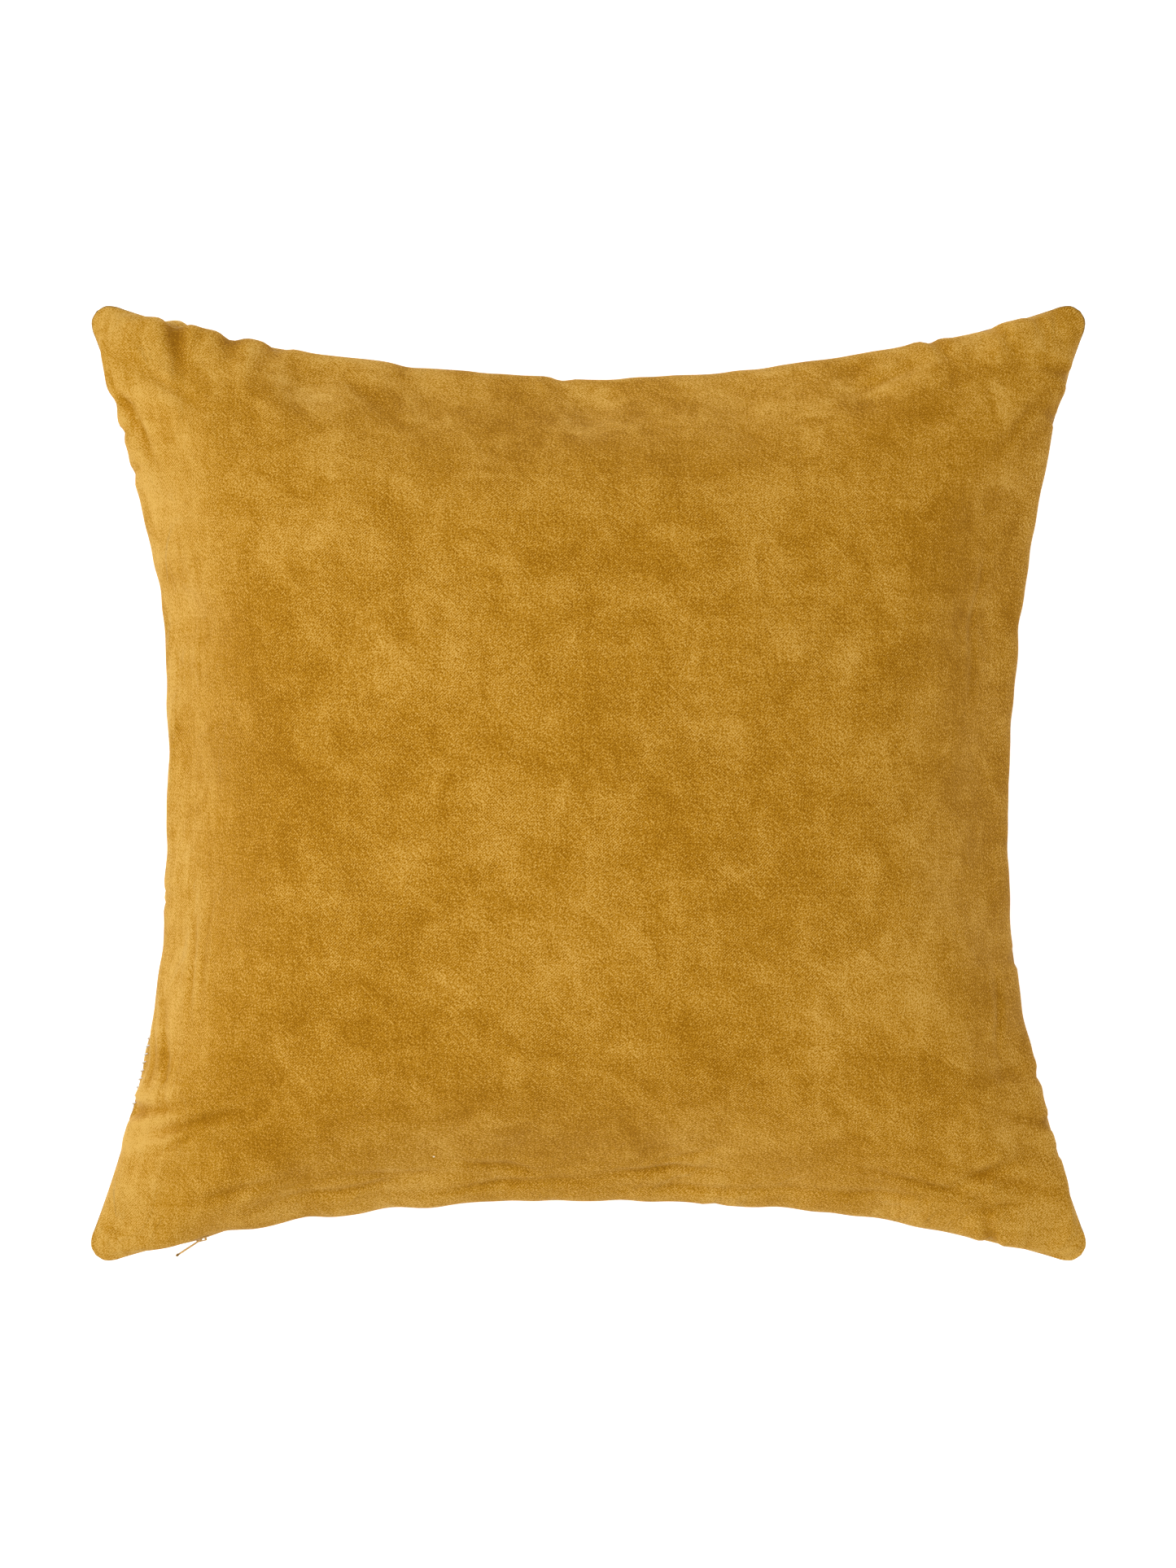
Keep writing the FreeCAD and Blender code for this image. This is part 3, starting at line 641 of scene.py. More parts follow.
def sew_lip(panel, skin, up):
    """Sews on the fold of a lip and the layer that turns in behind it."""
    sign = 1 if up else -1
    rows, flats, travelled = [], [], 0.0
    edge = skin[in_mouth, 0]
    flat = panel.flats[panel.number[in_mouth, 0]]
    for inset, height in LIP_FOLD:
        row = edge.copy()
        row[:, :2] += in_from_zip[in_mouth] * inset * MM
        row[:, 2] = seam_z + sign * height * MM * mouth_share[in_mouth]
        rows.append(row)
    normals = cloth_normals(skin, up)
    rows += [skin[in_mouth, row] - normals[in_mouth, row] * TURN_IN_INSET for row in turn_in_rows]
    for before, row in zip([edge, *rows], rows):
        travelled += np.linalg.norm(row - before, axis=1).mean()
        flats.append(flat - np.array([0, travelled]))
    panel.strip(panel.number[in_mouth, 0], rows, flats)


# %% Cover panels
VELVET = 1.2 * MM
FOLD_AT_FULL_PAINTED_SHADE = 3 * MM


def cover_panel(side, skin, up, folds):
    open_lips(skin, up)
    panel = Panel(skin, up)
    sew_lip(panel, skin, up)
    for edge in (RIGHT, TOP, LEFT):
        sew_allowance(panel, edge)
    piece = make_piece(f"velvet_{side}", panel.places, panel.faces, "velvet", f"cover_{side}_panel")
    lay_flat(piece, panel.flats)
    # each point's fold depth, for the velvet's painted shade in folds and painted highlight on their ridges
    depth = np.zeros(len(panel.places))
    depth[:folds.size] = np.clip(folds.ravel() / FOLD_AT_FULL_PAINTED_SHADE, -1, 1)
    piece.data.attributes.new("fold", "FLOAT", "POINT").data.foreach_set("value", depth)
    drop_loose(piece)
    thicken(piece, VELVET)
    print(piece.name, len(piece.data.polygons), "faces before its thickness")
    return piece


covers = [cover_panel(*half, folds) for half, folds in zip(HALVES, (front_folds, back_folds))]

# %% [markdown]
# ## Velvet
#
# Cotton velvet shines where its pile lies over and looks deep where it stands up, so one dye gives
# a whole range of golds. The tone below adds that up, from broad brushed patches to single tufts,
# and a ramp turns it into colour. The same tone also holds painted light: a painted sheen in pale
# bands beside the left seam and less at the top and bottom, painted shade in the seam grooves and
# inside folds, and a painted highlight along the folds' ridges. Real pile could be grown as hair, but
# at this distance hair costs minutes and still reads as grain. Everything is placed on the cut cloth,
# in metres, so it bends and folds with the pillow.

# %% Node helpers
class Finish:
    """A material whose nodes are added one call at a time."""

    def __init__(self, name, **values):
        self.material = bpy.data.materials.new(name)
        self.material.use_nodes = True
        self.nodes = self.material.node_tree.nodes
        self.links = self.material.node_tree.links
        self.shader = self.nodes["Principled BSDF"]
        for key, value in values.items():
            self.shader.inputs[key.replace("_", " ")].default_value = value

    def join(self, value, socket):
        if isinstance(value, bpy.types.NodeSocket):
            self.links.new(value, socket)
        else:
            socket.default_value = value

    def node(self, kind, **values):
        """A new node: a value whose name starts with a capital goes to a socket, any other is a setting."""
        made = self.nodes.new("ShaderNode" + kind)
        for key, value in values.items():
            if key[0].isupper():
                self.join(value, made.inputs[key.replace("_", " ")])
            else:
                setattr(made, key, value)
        return made

    def place(self, kind="Object"):
        return self.node("TexCoord").outputs[kind]

    def stretched(self, vector, scale=(1, 1, 1), turn=0.0, offset=(0, 0, 0)):
        """Coordinates turned about Z and scaled before a texture reads them."""
        turned = self.node("Mapping", Vector=vector, Rotation=(0, 0, turn), Location=offset)
        return self.node("Mapping", Vector=turned.outputs["Vector"], Scale=scale).outputs["Vector"]

    def noise(self, vector, fineness, detail=2.0, roughness=0.5, distortion=0.0, **mapping):
        vector = self.stretched(vector, **mapping) if mapping else vector
        return self.node("TexNoise", Vector=vector, Scale=fineness, Detail=detail,
                         Roughness=roughness, Distortion=distortion).outputs["Fac"]

    def maths(self, operation, first, second=0.0):
        made = self.node("Math", operation=operation)
        self.join(first, made.inputs[0])
        self.join(second, made.inputs[1])
        return made.outputs[0]

    def times(self, first, second):
        return self.maths("MULTIPLY", first, second)

    def plus(self, first, second):
        return self.maths("ADD", first, second)

    def minus(self, first, second):
        return self.maths("SUBTRACT", first, second)

    def most(self, first, second):
        return self.maths("MAXIMUM", first, second)

    def parts(self, vector):
        """The X, Y and Z of a vector."""
        return self.node("SeparateXYZ", Vector=vector).outputs

    def between(self, value, low, high, to_low=0.0, to_high=1.0):
        """Stretches a value's range, and holds it inside the new one."""
        return self.node("MapRange", Value=value, From_Min=low, From_Max=high,
                         To_Min=to_low, To_Max=to_high).outputs["Result"]

    def ramp(self, value, *stops):
        """Colour by value, through stops of a place and a colour."""
        made = self.node("ValToRGB", Fac=value)
        elements = made.color_ramp.elements
        while len(elements) < len(stops):
            elements.new(0.5)
        for element, (place, colour) in zip(elements, stops):
            element.position = place
            element.color = (*colour, 1)
        return made.outputs["Color"]

    def dyed(self, tone, deep, pale):
        """Colour from deep to pale, for a tone about zero."""
        return self.ramp(self.plus(tone, 0.5), (0.0, deep), (1.0, pale))

    def mix(self, share, first, second):
        """One colour where the share is 0, the other where it is 1."""
        made = self.node("Mix", data_type="RGBA")
        sockets = [socket for socket in made.inputs if socket.enabled]
        for socket, value in zip(sockets, (share, first, second)):
            self.join((*value, 1) if isinstance(value, tuple) else value, socket)
        return next(socket for socket in made.outputs if socket.enabled)

    def bump(self, height, strength, distance, under=None):
        made = self.node("Bump", Height=height, Strength=strength, Distance=distance)
        if under is not None:
            self.links.new(under, made.inputs["Normal"])
        return made.outputs["Normal"]

    def wear(self, colour=None, roughness=None, normal=None):
        """Feeds the shader and gives the material."""
        for key, value in (("Base Color", colour), ("Roughness", roughness), ("Normal", normal)):
            if value is not None:
                self.links.new(value, self.shader.inputs[key])
        return self.material


# %% Velvet
GOLD_DEEP = (0.27, 0.105, 0.001)
GOLD = (0.47, 0.215, 0.006)
GOLD_PALE = (0.68, 0.40, 0.088)
LINT = (0.85, 0.80, 0.62)
TUFT_PITCH = 1.41 * MM
# across which axis, from where to where, and how handled at each of the two
HANDLED_BANDS = (("X", -0.245, -0.15, 1, 0), ("Y", -0.245, -0.19, 0.9, 0), ("Y", 0.20, 0.245, 0, 0.6))
# the same for the painted sheen, with the stretch of its streaks after the axis
SHEEN_PAINTED_BANDS = (("X", (130, 22, 1), -0.222, -0.172, 1, 0), ("Y", (22, 130, 1), 0.190, 0.235, 0, 0.5),
              ("Y", (22, 130, 1), -0.238, -0.200, 0.6, 0))


def tufts(finish, cloth):
    """Rows of pile tufts, each row half a tuft out of step with the next, so they read as diagonals."""
    wander = finish.times(finish.noise(cloth, 260, 1), 5.0)
    axes = finish.parts(cloth)
    turns = [finish.times(axes[axis], 2 * math.pi / TUFT_PITCH) for axis in "XY"]
    return finish.times(*(finish.maths("SINE", finish.plus(turn, wander)) for turn in turns))


def weighted(finish, *parts):
    """A sum of values about zero: each part is a value, its middle and its weight."""
    total = None
    for value, middle, weight in parts:
        share = finish.times(finish.minus(value, middle), weight)
        total = share if total is None else finish.plus(total, share)
    return total


def make_velvet():
    finish = Finish("golden velvet", Roughness=0.85, Specular_IOR_Level=0.1,
                    Sheen_Weight=0.24, Sheen_Roughness=0.4, Sheen_Tint=(1.0, 0.74, 0.30, 1))
    cloth = finish.place("UV")
    # pile brushed one way or the other: broad patches, and crushed ones with crisper rims inside them
    broad = finish.noise(cloth, 9, 5, 0.55, 0.4, turn=0.5)
    patches = finish.noise(cloth, 38, 8, 0.66, 0.8, scale=(1.2, 0.9, 1), turn=-0.6)
    crushed = finish.between(finish.noise(cloth, 30, 8, 0.62, 1.0, offset=(3, 7, 0)), 0.50, 0.66)
    # thread that runs a little thick or thin shows as faint lines down and across the cloth
    down = finish.noise(cloth, 1, 2, scale=(520, 9, 1))
    across = finish.noise(cloth, 1, 2, scale=(12, 560, 1), offset=(5, 0, 0))
    grain = finish.noise(cloth, 1080, 3, 0.75, scale=(1.4, 0.85, 1), turn=0.8)
    flecks = finish.noise(cloth, 130, 6, 0.7, 1.2, offset=(1, 4, 0))
    # tufts stand out where the pile is upright and drown in its speckle elsewhere
    upright = finish.between(finish.noise(cloth, 22, 3, offset=(8, 2, 0)), 0.35, 0.65, 0.08, 0.30)
    lattice = finish.times(tufts(finish, cloth), upright)
    # painted sheen: pale bands of tone beside the left seam, weaker at the top and bottom, stand in for
    # light skimming the rolled edges, with pale painted streaks that run along the seam
    cut = finish.parts(cloth)
    ragged = finish.times(finish.minus(patches, 0.5), 0.16)
    painted_sheen, painted_sheen_streaks = 0.0, 0.0
    for axis, stretch, *limits in SHEEN_PAINTED_BANDS:
        band = finish.between(finish.plus(cut[axis], ragged), *limits)
        sheen_streak = finish.minus(finish.noise(cloth, 1, 4, 0.6, 1.0, scale=stretch), 0.5)
        painted_sheen = finish.most(band, painted_sheen)
        painted_sheen_streaks = finish.plus(finish.times(sheen_streak, band), painted_sheen_streaks)
    grain_left = finish.times(finish.minus(grain, 0.5), finish.between(painted_sheen, 0, 1, 1, 0.65))
    tone = weighted(finish, (broad, 0.5, 0.75), (patches, 0.5, 1.0), (flecks, 0.5, 0.6), (crushed, 0.2, 0.15),
                    (down, 0.5, 0.2), (across, 0.5, 0.2), (grain_left, 0.0, 4.2), (lattice, 0.0, 1.0),
                    (painted_sheen_streaks, 0.0, 0.75), (painted_sheen, 0.0, 0.34))
    tone = finish.plus(tone, 0.425)
    # painted shade in each seam's groove: the tone darkens within a few millimetres of the seam, less near
    # the tips
    sides = [finish.maths("ABSOLUTE", cut[axis]) for axis in "XY"]
    painted_seam_shade = finish.between(finish.most(*sides), 0.246, 0.250, 0, 0.35)
    painted_seam_shade = finish.times(painted_seam_shade, finish.between(finish.maths("MINIMUM", *sides), 0.19, 0.225, 1, 0))
    tone = finish.minus(tone, painted_seam_shade)
    # painted shade inside each fold and a painted highlight along its ridges, by the fold's depth
    fold = finish.node("Attribute", attribute_name="fold").outputs["Fac"]
    tone = finish.minus(tone, finish.times(fold, 0.42))
    colour = finish.ramp(tone, (0.0, GOLD_DEEP), (0.5, GOLD), (1.0, GOLD_PALE))
    cells = finish.node("TexVoronoi", Vector=cloth, Scale=55)
    dot = finish.between(cells.outputs["Distance"], 0.022, 0.034, 1, 0)
    drawn = finish.node("SeparateColor", Color=cells.outputs["Color"]).outputs["Red"]
    chosen = finish.maths("GREATER_THAN", drawn, 0.975)
    colour = finish.mix(finish.times(dot, chosen), colour, LINT)
    # crumples: soft waves with ragged valleys, deepest where hands and seams have worked the cloth
    waves = finish.noise(cloth, 26, 4, 0.5, 1.4, scale=(1.5, 0.8, 1), turn=0.3)
    valley = finish.between(finish.maths("ABSOLUTE", finish.minus(waves, 0.5)), 0, 0.16)
    crumple = finish.plus(finish.times(waves, 2.2), finish.times(valley, 0.25))
    handled = 0.10
    for axis, *limits in HANDLED_BANDS:
        handled = finish.most(finish.between(cut[axis], *limits), handled)
    normal = finish.bump(grain, 0.35, 0.5 * MM)
    normal = finish.bump(patches, 0.35, 2.0 * MM, normal)
    normal = finish.bump(finish.times(crumple, handled), 0.7, 2.5 * MM, normal)
    rough = finish.between(tone, 0.2, 0.8, 0.95, 0.75)
    return finish.wear(colour, rough, normal)


velvet = make_velvet()
finish_with(velvet, *covers)
print("velvet:", len(velvet.node_tree.nodes), "nodes")

# %% [markdown]
# ## The zip inside the seam
#
# An invisible zip lies behind the lips: two woven tapes, each sewn to a turned-in edge, and a row of
# coil on each tape. The coil is one nylon thread wound round and round, so it is drawn as a true
# helix along the seam's arc. A row of boxes would give a zip with moulded teeth, which this isn't.

# %% Tubes along a path
def tube(path, radius, beside, sides=8):
    """Points and faces of a round thread; beside is a direction never in line with the path."""
    along = np.gradient(path, axis=0)
    first = unit(np.cross(along, beside))
    second = unit(np.cross(along, first))
    turn = (np.arange(sides) / sides * 2 * math.pi)[:, None]
    rings = path[:, None] + radius * (first[:, None] * np.cos(turn) + second[:, None] * np.sin(turn))
    number = numbered(rings)
    faces = net_faces(np.column_stack([number, number[:, 0]]), False).tolist()
    return rings.reshape(-1, 3), faces + [number[0].tolist(), number[-1][::-1].tolist()]


def gather(parts):
    """Joins several lots of points and faces into one."""
    places, faces, count = [], [], 0
    for part_places, part_faces in parts:
        places.append(part_places)
        faces += [[count + corner for corner in face] for face in part_faces]
        count += len(part_places)
    return np.concatenate(places), faces


def on_zip_arc(angles, inset, height):
    """Points at turns about the zip's centre, inset from the seam, at a height above the seam plane."""
    reach = zip_radius + inset
    return np.stack([reach * np.sin(angles), zip_centre[1] + reach * np.cos(angles),
                     seam_z + height + 0 * angles], 1)


# %% Tapes and the stitches that hold them
TAPE_INSET = 2.65 * MM
TAPE = 0.5 * MM
TAPE_WIDTH = 13 * MM
THREAD_RADIUS = 0.2 * MM
STITCH_PITCH = 5 * MM
STITCH_LENGTH = 4.2 * MM
tape_rows = np.flatnonzero(from_seam[ZIP][0] < TAPE_WIDTH)


def cloth_piece(name, net, flats, up, slot, replaced, thickness):
    """One net of points made into a piece of cloth."""
    piece = make_piece(name, net, net_faces(numbered(net), up), slot, replaced)
    lay_flat(piece, flats.reshape(-1, 2))
    thicken(piece, thickness)
    return piece


def zip_tape(side, skin, up):
    cells = np.ix_(in_mouth, tape_rows)
    net = (skin - cloth_normals(skin, up) * TAPE_INSET)[cells]
    flats = np.dstack([cut_u, cut_v])[cells]
    return cloth_piece(f"woven_tape_{side}", net, flats, up, "zip_tape", f"zip_tape_{side}", TAPE)


def stitches_along(line, normals):
    """A row of short stitches that lie on a line of points, each dipping at its ends."""
    length = length_along(line)
    share = np.linspace(0, 1, 7)
    parts = []
    for start in np.arange(STITCH_PITCH, length[-1] - 2 * STITCH_PITCH, STITCH_PITCH):
        lift = read_line(normals, length, start + share * STITCH_LENGTH)
        path = read_line(line, length, start + share * STITCH_LENGTH)
        path += lift * (THREAD_RADIUS * np.sin(share * math.pi))[:, None]
        parts.append(tube(path, THREAD_RADIUS, lift))
    return gather(parts)


def zip_thread(side, skin, up):
    row = int(np.searchsorted(from_seam[ZIP][0], TAPE_WIDTH / 2))
    normals = -cloth_normals(skin, up)[in_mouth, row]
    line = skin[in_mouth, row] + normals * (TAPE_INSET + TAPE)
    stitches = stitches_along(line, normals)
    return make_piece(f"tape_stitches_{side}", *stitches, "cover_thread", f"zip_thread_{side}")


tapes = [zip_tape(*half) for half in HALVES]
tape_threads = [zip_thread(*half) for half in HALVES]
print("tape rows:", len(tape_rows), " stitches' faces:", len(tape_threads[0].data.polygons))

# %% Coils
COIL_WIRE = 0.26 * MM
COIL_PITCH = 1.3 * MM
COIL_DEPTH = 1.9 * MM
POINTS_A_TURN = 12


def coil(side):
    """One thread wound along the zip's arc, as far out, as long and as high as its CAD node."""
    low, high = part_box(f"zip_coil_{side}")
    far = high[1] - (zip_centre[1] + zip_radius)
    half_turn = math.asin(high[0] / (zip_radius + far))
    turns = 2 * half_turn * zip_radius / COIL_PITCH
    share = np.linspace(0, 1, int(turns * POINTS_A_TURN))
    angles = (share * 2 - 1) * half_turn
    wound = share * turns * 2 * math.pi
    inset = far - COIL_DEPTH / 2 + (COIL_DEPTH / 2 - COIL_WIRE) * np.cos(wound)
    height = (low[2] + high[2]) / 2 - seam_z + ((high[2] - low[2]) / 2 - COIL_WIRE) * np.sin(wound)
    beside = np.stack([np.cos(angles), -np.sin(angles), 0 * angles], 1)
    wire = tube(on_zip_arc(angles, inset, height), COIL_WIRE, beside, 6)
    return make_piece(f"nylon_coil_{side}", *wire, "zip_coil", f"zip_coil_{side}")


coils = [coil(side) for side, skin, up in HALVES]
print("coil:", len(coils[0].data.polygons), "faces")

# %% [markdown]
# ## The insert and its filling
#
# Inside lies a plain bag of white ticking, stuffed until it fills the cover. It is the cover's shape
# a little smaller, so both its panels are read from the cover's own nets: moved in from the seams to
# clear the allowances, then pressed in by the thickness of the cloth. Its filling is one closed body
# read from the same nets, a little smaller again, so the layers can never cross.

# %% Layers inside the cover
INSERT_INSET = 14.5 * MM
INSERT_TIP = 8 * MM
INSERT_GAP = 1.8 * MM
TICKING = 0.4 * MM
SETTLE_IN = 40 * MM
shares = np.clip(refine(np.dstack(dome_shares(CLOTH_STEPS))), -1, 1).transpose(2, 0, 1)


def inner_net(skin, up, inset, gap, lift=0.0):
    """Every second point of a skin, moved in from its seams by inset and pressed in by gap."""
    moved = skin.copy()
    border_move = plan_at(*shares, inset, INSERT_TIP) - plan_at(*shares)
    moved[..., :2] += border_move * (1 - eased(nearest_seam / SETTLE_IN))[..., None]
    moved -= cloth_normals(skin, up) * (gap * np.clip(nearest_seam / (SETTLE_IN / 2), 0, 1))[..., None]
    moved[nearest_seam == 0, 2] = seam_z + lift
    return moved[::2, ::2]


FIN_HALF = 100 * MM
FIN_WIDTH = 4 * MM


def ticking_panel(side, skin, up):
    """A panel of the insert, with the closing fin that stands out of its zip side."""
    net = inner_net(skin, up, INSERT_INSET, INSERT_GAP, TICKING if up else -TICKING)
    panel = Panel(net, up, cut_u[::2, ::2], cut_v[::2, ::2])
    fin = np.flatnonzero(np.abs(net[:, 0, 0]) < FIN_HALF)
    edge, first = net[fin, 0], panel.number[fin, 0]
    out = np.column_stack([unit(zip_centre - edge[:, :2]), np.zeros(len(fin))]) * FIN_WIDTH
    panel.up = not up
    panel.strip(first, [edge + out * share for share in (0.5, 1)],
                [panel.flats[first] - np.array([0, FIN_WIDTH * share]) for share in (0.5, 1)])
    piece = make_piece(f"ticking_{side}", panel.places, panel.faces, "ticking", f"insert_{side}_panel")
    lay_flat(piece, panel.flats)
    thicken(piece, TICKING)
    return piece


ticking = [ticking_panel(*half) for half in HALVES]
print("ticking:", len(ticking[0].data.polygons), "faces before its thickness")

# %% Filling
FILLING_INSET = 15.3 * MM
FILLING_CLEARANCE = 0.4 * MM
FILLING_GAP = INSERT_GAP + TICKING + FILLING_CLEARANCE
filling_nets = np.stack([inner_net(skin, up, FILLING_INSET, FILLING_GAP) for _, skin, up in HALVES])
front_number = numbered(filling_nets[0])
back_number = front_number + front_number.size
filling = make_piece("loose_fibre", filling_nets,
                     np.concatenate([net_faces(front_number), net_faces(back_number, False)]),
                     "filling", "insert_filling")
drop_loose(filling)
uses = {}
for face in filling.data.polygons:
    for edge in face.edge_keys:
        uses[edge] = uses.get(edge, 0) + 1
print("filling's open edges:", sum(count != 2 for count in uses.values()))

# %% [markdown]
# ## The care label
#
# A blank ribbon is caught in the left seam and hangs down inside the back panel. It follows that
# panel's inner face, so it is read from the same net rather than drawn flat.

# %% Label
LABEL_MIDDLE = -60 * MM
LABEL_WIDTH = 30 * MM
LABEL_INSET = 1.45 * MM
LABEL_DROP = 1.5 * MM
LABEL_LENGTH = 34 * MM
RIBBON = 0.3 * MM
NEAR_LEFT = 60  # columns of the net
behind = back_skin - cloth_normals(back_skin, False) * LABEL_INSET
across = LABEL_MIDDLE + np.linspace(-0.5, 0.5, 13) * LABEL_WIDTH
heights = seam_z - LABEL_DROP - np.linspace(0, 1, 15) * LABEL_LENGTH
# the panel's columns are read at the ribbon's width, then the lines down the panel at its heights
lines = np.stack([read_line(column, column[:, 1], across) for column in behind[:NEAR_LEFT]], 1)
lines = [line[np.argsort(-line[:, 2])] for line in lines]
label_net = np.stack([read_line(line, -line[:, 2], -heights) for line in lines], 1)
label = cloth_piece("care_ribbon", label_net, label_net[..., 1:], True, "label_ribbon", "care_label", RIBBON)
print("label from and to, mm:", mm([label_net.min((0, 1)), label_net.max((0, 1))]))

# %% [markdown]
# ## Stitches that show at the seam
#
# Where the filling pulls hardest, a seam opens by a hair and its stitches show as a row of pale dots.
# Each is a short loop of thread across the groove of the left seam, near the zip.

# %% Stitches across the left seam
GRIN_START = -126 * MM
GRIN_END = -162 * MM
GRIN_PITCH = 4 * MM
GRIN_RADIUS = 0.3 * MM
GRIN_LEAN = 0.3
# a loop over the groove: how far out of the seam, and how high above the seam plane
GRIN_LOOP = ((-1.2, -1.6), (0.2, -1.0), (0.8, 0.4), (0.4, 1.8), (-1.0, 3.0))
left_seam = front_skin[0, :, :2]
loops = []
for place in np.arange(GRIN_START, GRIN_END, -GRIN_PITCH):
    across = np.interp(place, left_seam[:, 1], left_seam[:, 0])
    loop = np.array([(across - out * MM, place + GRIN_LEAN * height * MM, seam_z + height * MM)
                     for out, height in GRIN_LOOP])
    loops.append(tube(loop, GRIN_RADIUS, np.array([0.0, 1.0, 0.0]) + 0 * loop))
grin = make_piece("stitches_showing", *gather(loops), "cover_thread")
print("stitches that show:", len(loops))

# %% [markdown]
# ## Thread, tape, nylon, ticking, fibre, ribbon and metal
#
# Each small piece has its own make: thread is twisted, tape and ticking are woven over and under,
# the ribbon is satin, the coil is dyed nylon, and the slider is plated metal, darker in patches and
# rubbed paler in fine scratches. One set of helpers gives all of them, with the pitch of each twist or
# weave in millimetres.

# %% Finishes for the small pieces
def ridges(finish, vector, pitch, turn=0.0):
    """Even ridges across one direction of a vector, from -1 to 1."""
    along = finish.parts(finish.stretched(vector, turn=turn))["X"]
    return finish.maths("SINE", finish.times(along, 2 * math.pi / pitch))


def make_thread(name, deep, pale, pitch=0.5 * MM, roughness=0.6):
    """Twisted thread: slanting plies, with the dye a little uneven from stitch to stitch."""
    finish = Finish(name, Roughness=roughness, Sheen_Weight=0.3)
    spot = finish.place()
    plies = ridges(finish, spot, pitch, math.radians(35))
    fuzz = finish.noise(spot, 6000, 2)
    tone = weighted(finish, (plies, 0, 0.22), (finish.noise(spot, 300, 3), 0.5, 0.8), (fuzz, 0.5, 0.5))
    rough = finish.between(fuzz, 0.3, 0.7, roughness - 0.1, roughness + 0.15)
    return finish.wear(finish.dyed(tone, deep, pale), rough, finish.bump(tone, 0.6, 0.1 * MM))


def make_weave(name, deep, pale, pitch, roughness, slant, fuzz):
    """Woven cloth: threads over and under each other, with faint thick and thin ones."""
    finish = Finish(name, Roughness=roughness, Sheen_Weight=fuzz, Sheen_Roughness=0.5)
    cloth = finish.place("UV")
    over = finish.times(*(ridges(finish, cloth, pitch, slant + turn) for turn in (0, math.pi / 2)))
    slubs = finish.noise(cloth, 1, 3, scale=(40, 1400, 1))
    slubs_across = finish.noise(cloth, 1, 3, scale=(1400, 40, 1), offset=(2, 0, 0))
    cloud = finish.noise(cloth, 30, 4)
    tone = weighted(finish, (over, 0, 0.2), (slubs, 0.5, 0.35), (slubs_across, 0.5, 0.35), (cloud, 0.5, 0.6))
    rough = finish.between(over, -1, 1, roughness - 0.08, roughness + 0.08)
    return finish.wear(finish.dyed(tone, deep, pale), rough, finish.bump(tone, 0.7, 0.2 * MM))


def make_fibre():
    finish = Finish("white hollow fibre", Roughness=0.95, Sheen_Weight=0.8)
    spot = finish.place()
    curls = finish.noise(spot, 420, 6, 0.75, 2.5, scale=(1, 1, 2.5))
    tone = weighted(finish, (curls, 0.5, 0.8), (finish.noise(spot, 45, 4, 0.6, 1.2), 0.5, 1.0))
    colour = finish.dyed(tone, (0.62, 0.62, 0.60), (0.95, 0.95, 0.93))
    return finish.wear(colour, finish.between(curls, 0.3, 0.7, 0.85, 1.0), finish.bump(tone, 0.9, 1.5 * MM))


def make_nylon():
    finish = Finish("dyed nylon coil", Roughness=0.32, Coat_Weight=0.15)
    spot = finish.place()
    drawn = finish.noise(spot, 5000, 2, scale=(1, 1, 0.2))
    tone = weighted(finish, (finish.noise(spot, 120, 4), 0.5, 0.9), (drawn, 0.5, 0.4))
    colour = finish.dyed(tone, (0.26, 0.12, 0.015), (0.48, 0.26, 0.05))
    rough = finish.between(drawn, 0.3, 0.7, 0.25, 0.42)
    return finish.wear(colour, rough, finish.bump(drawn, 0.3, 0.05 * MM))


def make_metal():
    """Brass-coloured plating: darker in patches, rubbed paler in fine scratches."""
    finish = Finish("antique brass plating", Roughness=0.38, Metallic=1.0)
    spot = finish.place()
    tarnish = finish.noise(spot, 420, 5, 0.6, 0.6)
    scratches = finish.noise(spot, 1, 3, scale=(60, 5000, 5000), turn=0.5)
    tone = weighted(finish, (tarnish, 0.5, 1.0), (finish.between(scratches, 0.56, 0.68), 0, 0.3))
    colour = finish.ramp(finish.plus(tone, 0.45), (0.0, (0.10, 0.050, 0.014)), (0.5, (0.30, 0.17, 0.050)),
                         (1.0, (0.62, 0.42, 0.17)))
    rough = finish.between(tarnish, 0.3, 0.7, 0.28, 0.5)
    return finish.wear(colour, rough, finish.bump(scratches, 0.25, 0.03 * MM))


# %% Put the finishes on
gold_thread = make_thread("golden polyester thread", (0.30, 0.135, 0.012), (0.60, 0.34, 0.07))
overlock_thread = make_thread("overlock thread", (0.42, 0.24, 0.05), (0.72, 0.50, 0.18), 0.4 * MM, 0.7)
white_thread = make_thread("white cotton thread", (0.66, 0.64, 0.58), (0.93, 0.92, 0.88), 0.45 * MM, 0.75)
nodes = frame["nodes"]
finish_with(gold_thread, *tape_threads, nodes["cover_needle_thread"], nodes["cover_bobbin_thread"],
            nodes["zip_bar_tacks"])
finish_with(overlock_thread, nodes["cover_overlock_thread"])
finish_with(white_thread, grin, nodes["insert_seam_thread"], nodes["insert_closing_stitches"])
# the pieces of each weave, its name, its deep and its pale colour, pitch, roughness, slant and fuzz
WEAVES = (
    (tapes, "zip tape weave", (0.27, 0.125, 0.012), (0.52, 0.29, 0.06), 0.55 * MM, 0.7, math.pi / 4, 0.35),
    (ticking, "ticking weave", (0.66, 0.66, 0.64), (0.90, 0.90, 0.88), 0.6 * MM, 0.85, 0.0, 0.35),
    ([label], "satin ribbon", (0.78, 0.78, 0.76), (0.96, 0.96, 0.94), 0.3 * MM, 0.42, 0.0, 0.1))
for pieces, *weave in WEAVES:
    finish_with(make_weave(*weave), *pieces)
finish_with(make_fibre(), filling)
finish_with(make_nylon(), *coils)
finish_with(make_metal(), nodes["zip_slider_body"], nodes["zip_pull_tab"], nodes["zip_top_stop"],
            nodes["zip_bottom_stop"])

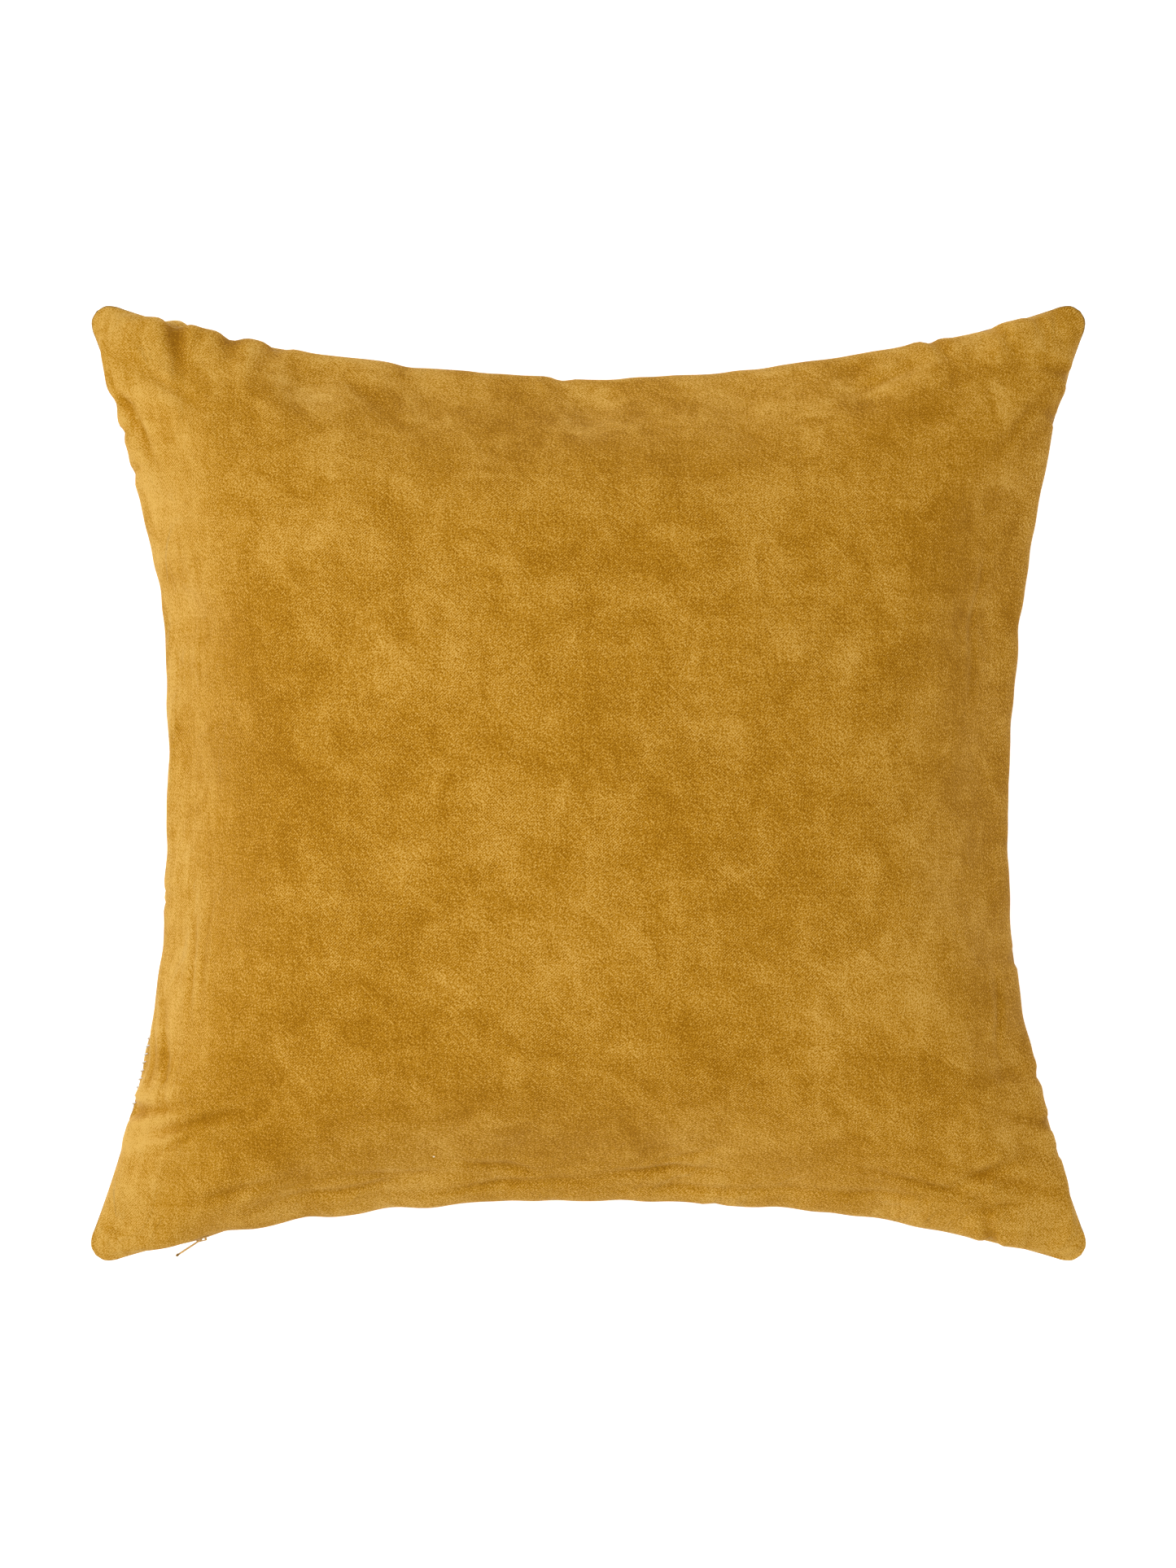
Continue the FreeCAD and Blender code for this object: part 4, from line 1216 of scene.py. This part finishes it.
# %% [markdown]
# ## Floor, light and camera
#
# The pillow is shown as a shop would show it: on white paper that glows a little, so that no edge
# of it turns grey, in soft light from above and from a window on the left. Paper with a stronger
# glow would also light the seams from below and flatten them. The camera looks straight down from
# high up, which keeps the sides of the square parallel.

# %% Floor
FLOOR_HALF = 100.0
floor_mesh = bpy.data.meshes.new("floor")
floor_mesh.from_pydata([(-FLOOR_HALF, -FLOOR_HALF, 0), (FLOOR_HALF, -FLOOR_HALF, 0),
                        (FLOOR_HALF, FLOOR_HALF, 0), (-FLOOR_HALF, FLOOR_HALF, 0)], [], [(0, 1, 2, 3)])
floor = add("floor", floor_mesh)
paper = Finish("white paper floor", Roughness=0.9, Base_Color=(0.9, 0.9, 0.9, 1),
               Emission_Color=(1, 1, 1, 1), Emission_Strength=0.6)
floor_mesh.materials.append(paper.wear(normal=paper.bump(paper.noise(paper.place(), 900, 2), 0.05, 0.2 * MM)))
print("floor:", 2 * FLOOR_HALF, "m square")

# %% Lights
world = bpy.data.worlds.new("studio")
scene.world = world
world.use_nodes = True
sky = world.node_tree.nodes["Background"].inputs
sky["Color"].default_value = (1.0, 1.0, 1.0, 1)
sky["Strength"].default_value = 0.46


def soft_box(name, place, size, power):
    """A square studio light that faces the pillow."""
    light = bpy.data.lights.new(name, "AREA")
    light.size = size
    light.energy = power
    box = add(name, light)
    box.location = place
    box.rotation_euler = (Vector((0, 0, seam_z)) - box.location).to_track_quat("-Z", "Y").to_euler()


soft_box("window side", (-1.9, 0.2, 1.3), 1.8, 14.5)
soft_box("overhead", (-0.15, 0.12, 2.5), 2.0, 33)
soft_box("low fill", (0.5, -1.9, 1.1), 1.6, 4)
print("lights:", [light.name for light in bpy.data.lights])

# %% Camera
VIEW_WIDTH = 578 * MM
VIEW_PIXELS = (1445, 1927)
CAMERA_HEIGHT = 3.2
LOOK_AT = Vector((-0.2 * MM, -0.8 * MM, seam_z))
lens = bpy.data.cameras.new("straight above")
camera = add("straight above", lens)
camera.location = LOOK_AT + Vector((0, 0, CAMERA_HEIGHT - seam_z))
lens.sensor_fit = "VERTICAL"
lens.sensor_height = 36
lens.lens = lens.sensor_height * (CAMERA_HEIGHT - seam_z) / (VIEW_WIDTH * VIEW_PIXELS[1] / VIEW_PIXELS[0])
scene.camera = camera
scene.view_settings.view_transform = "Standard"
print("camera:", CAMERA_HEIGHT, "m up, focal length", round(lens.lens, 1), "mm")
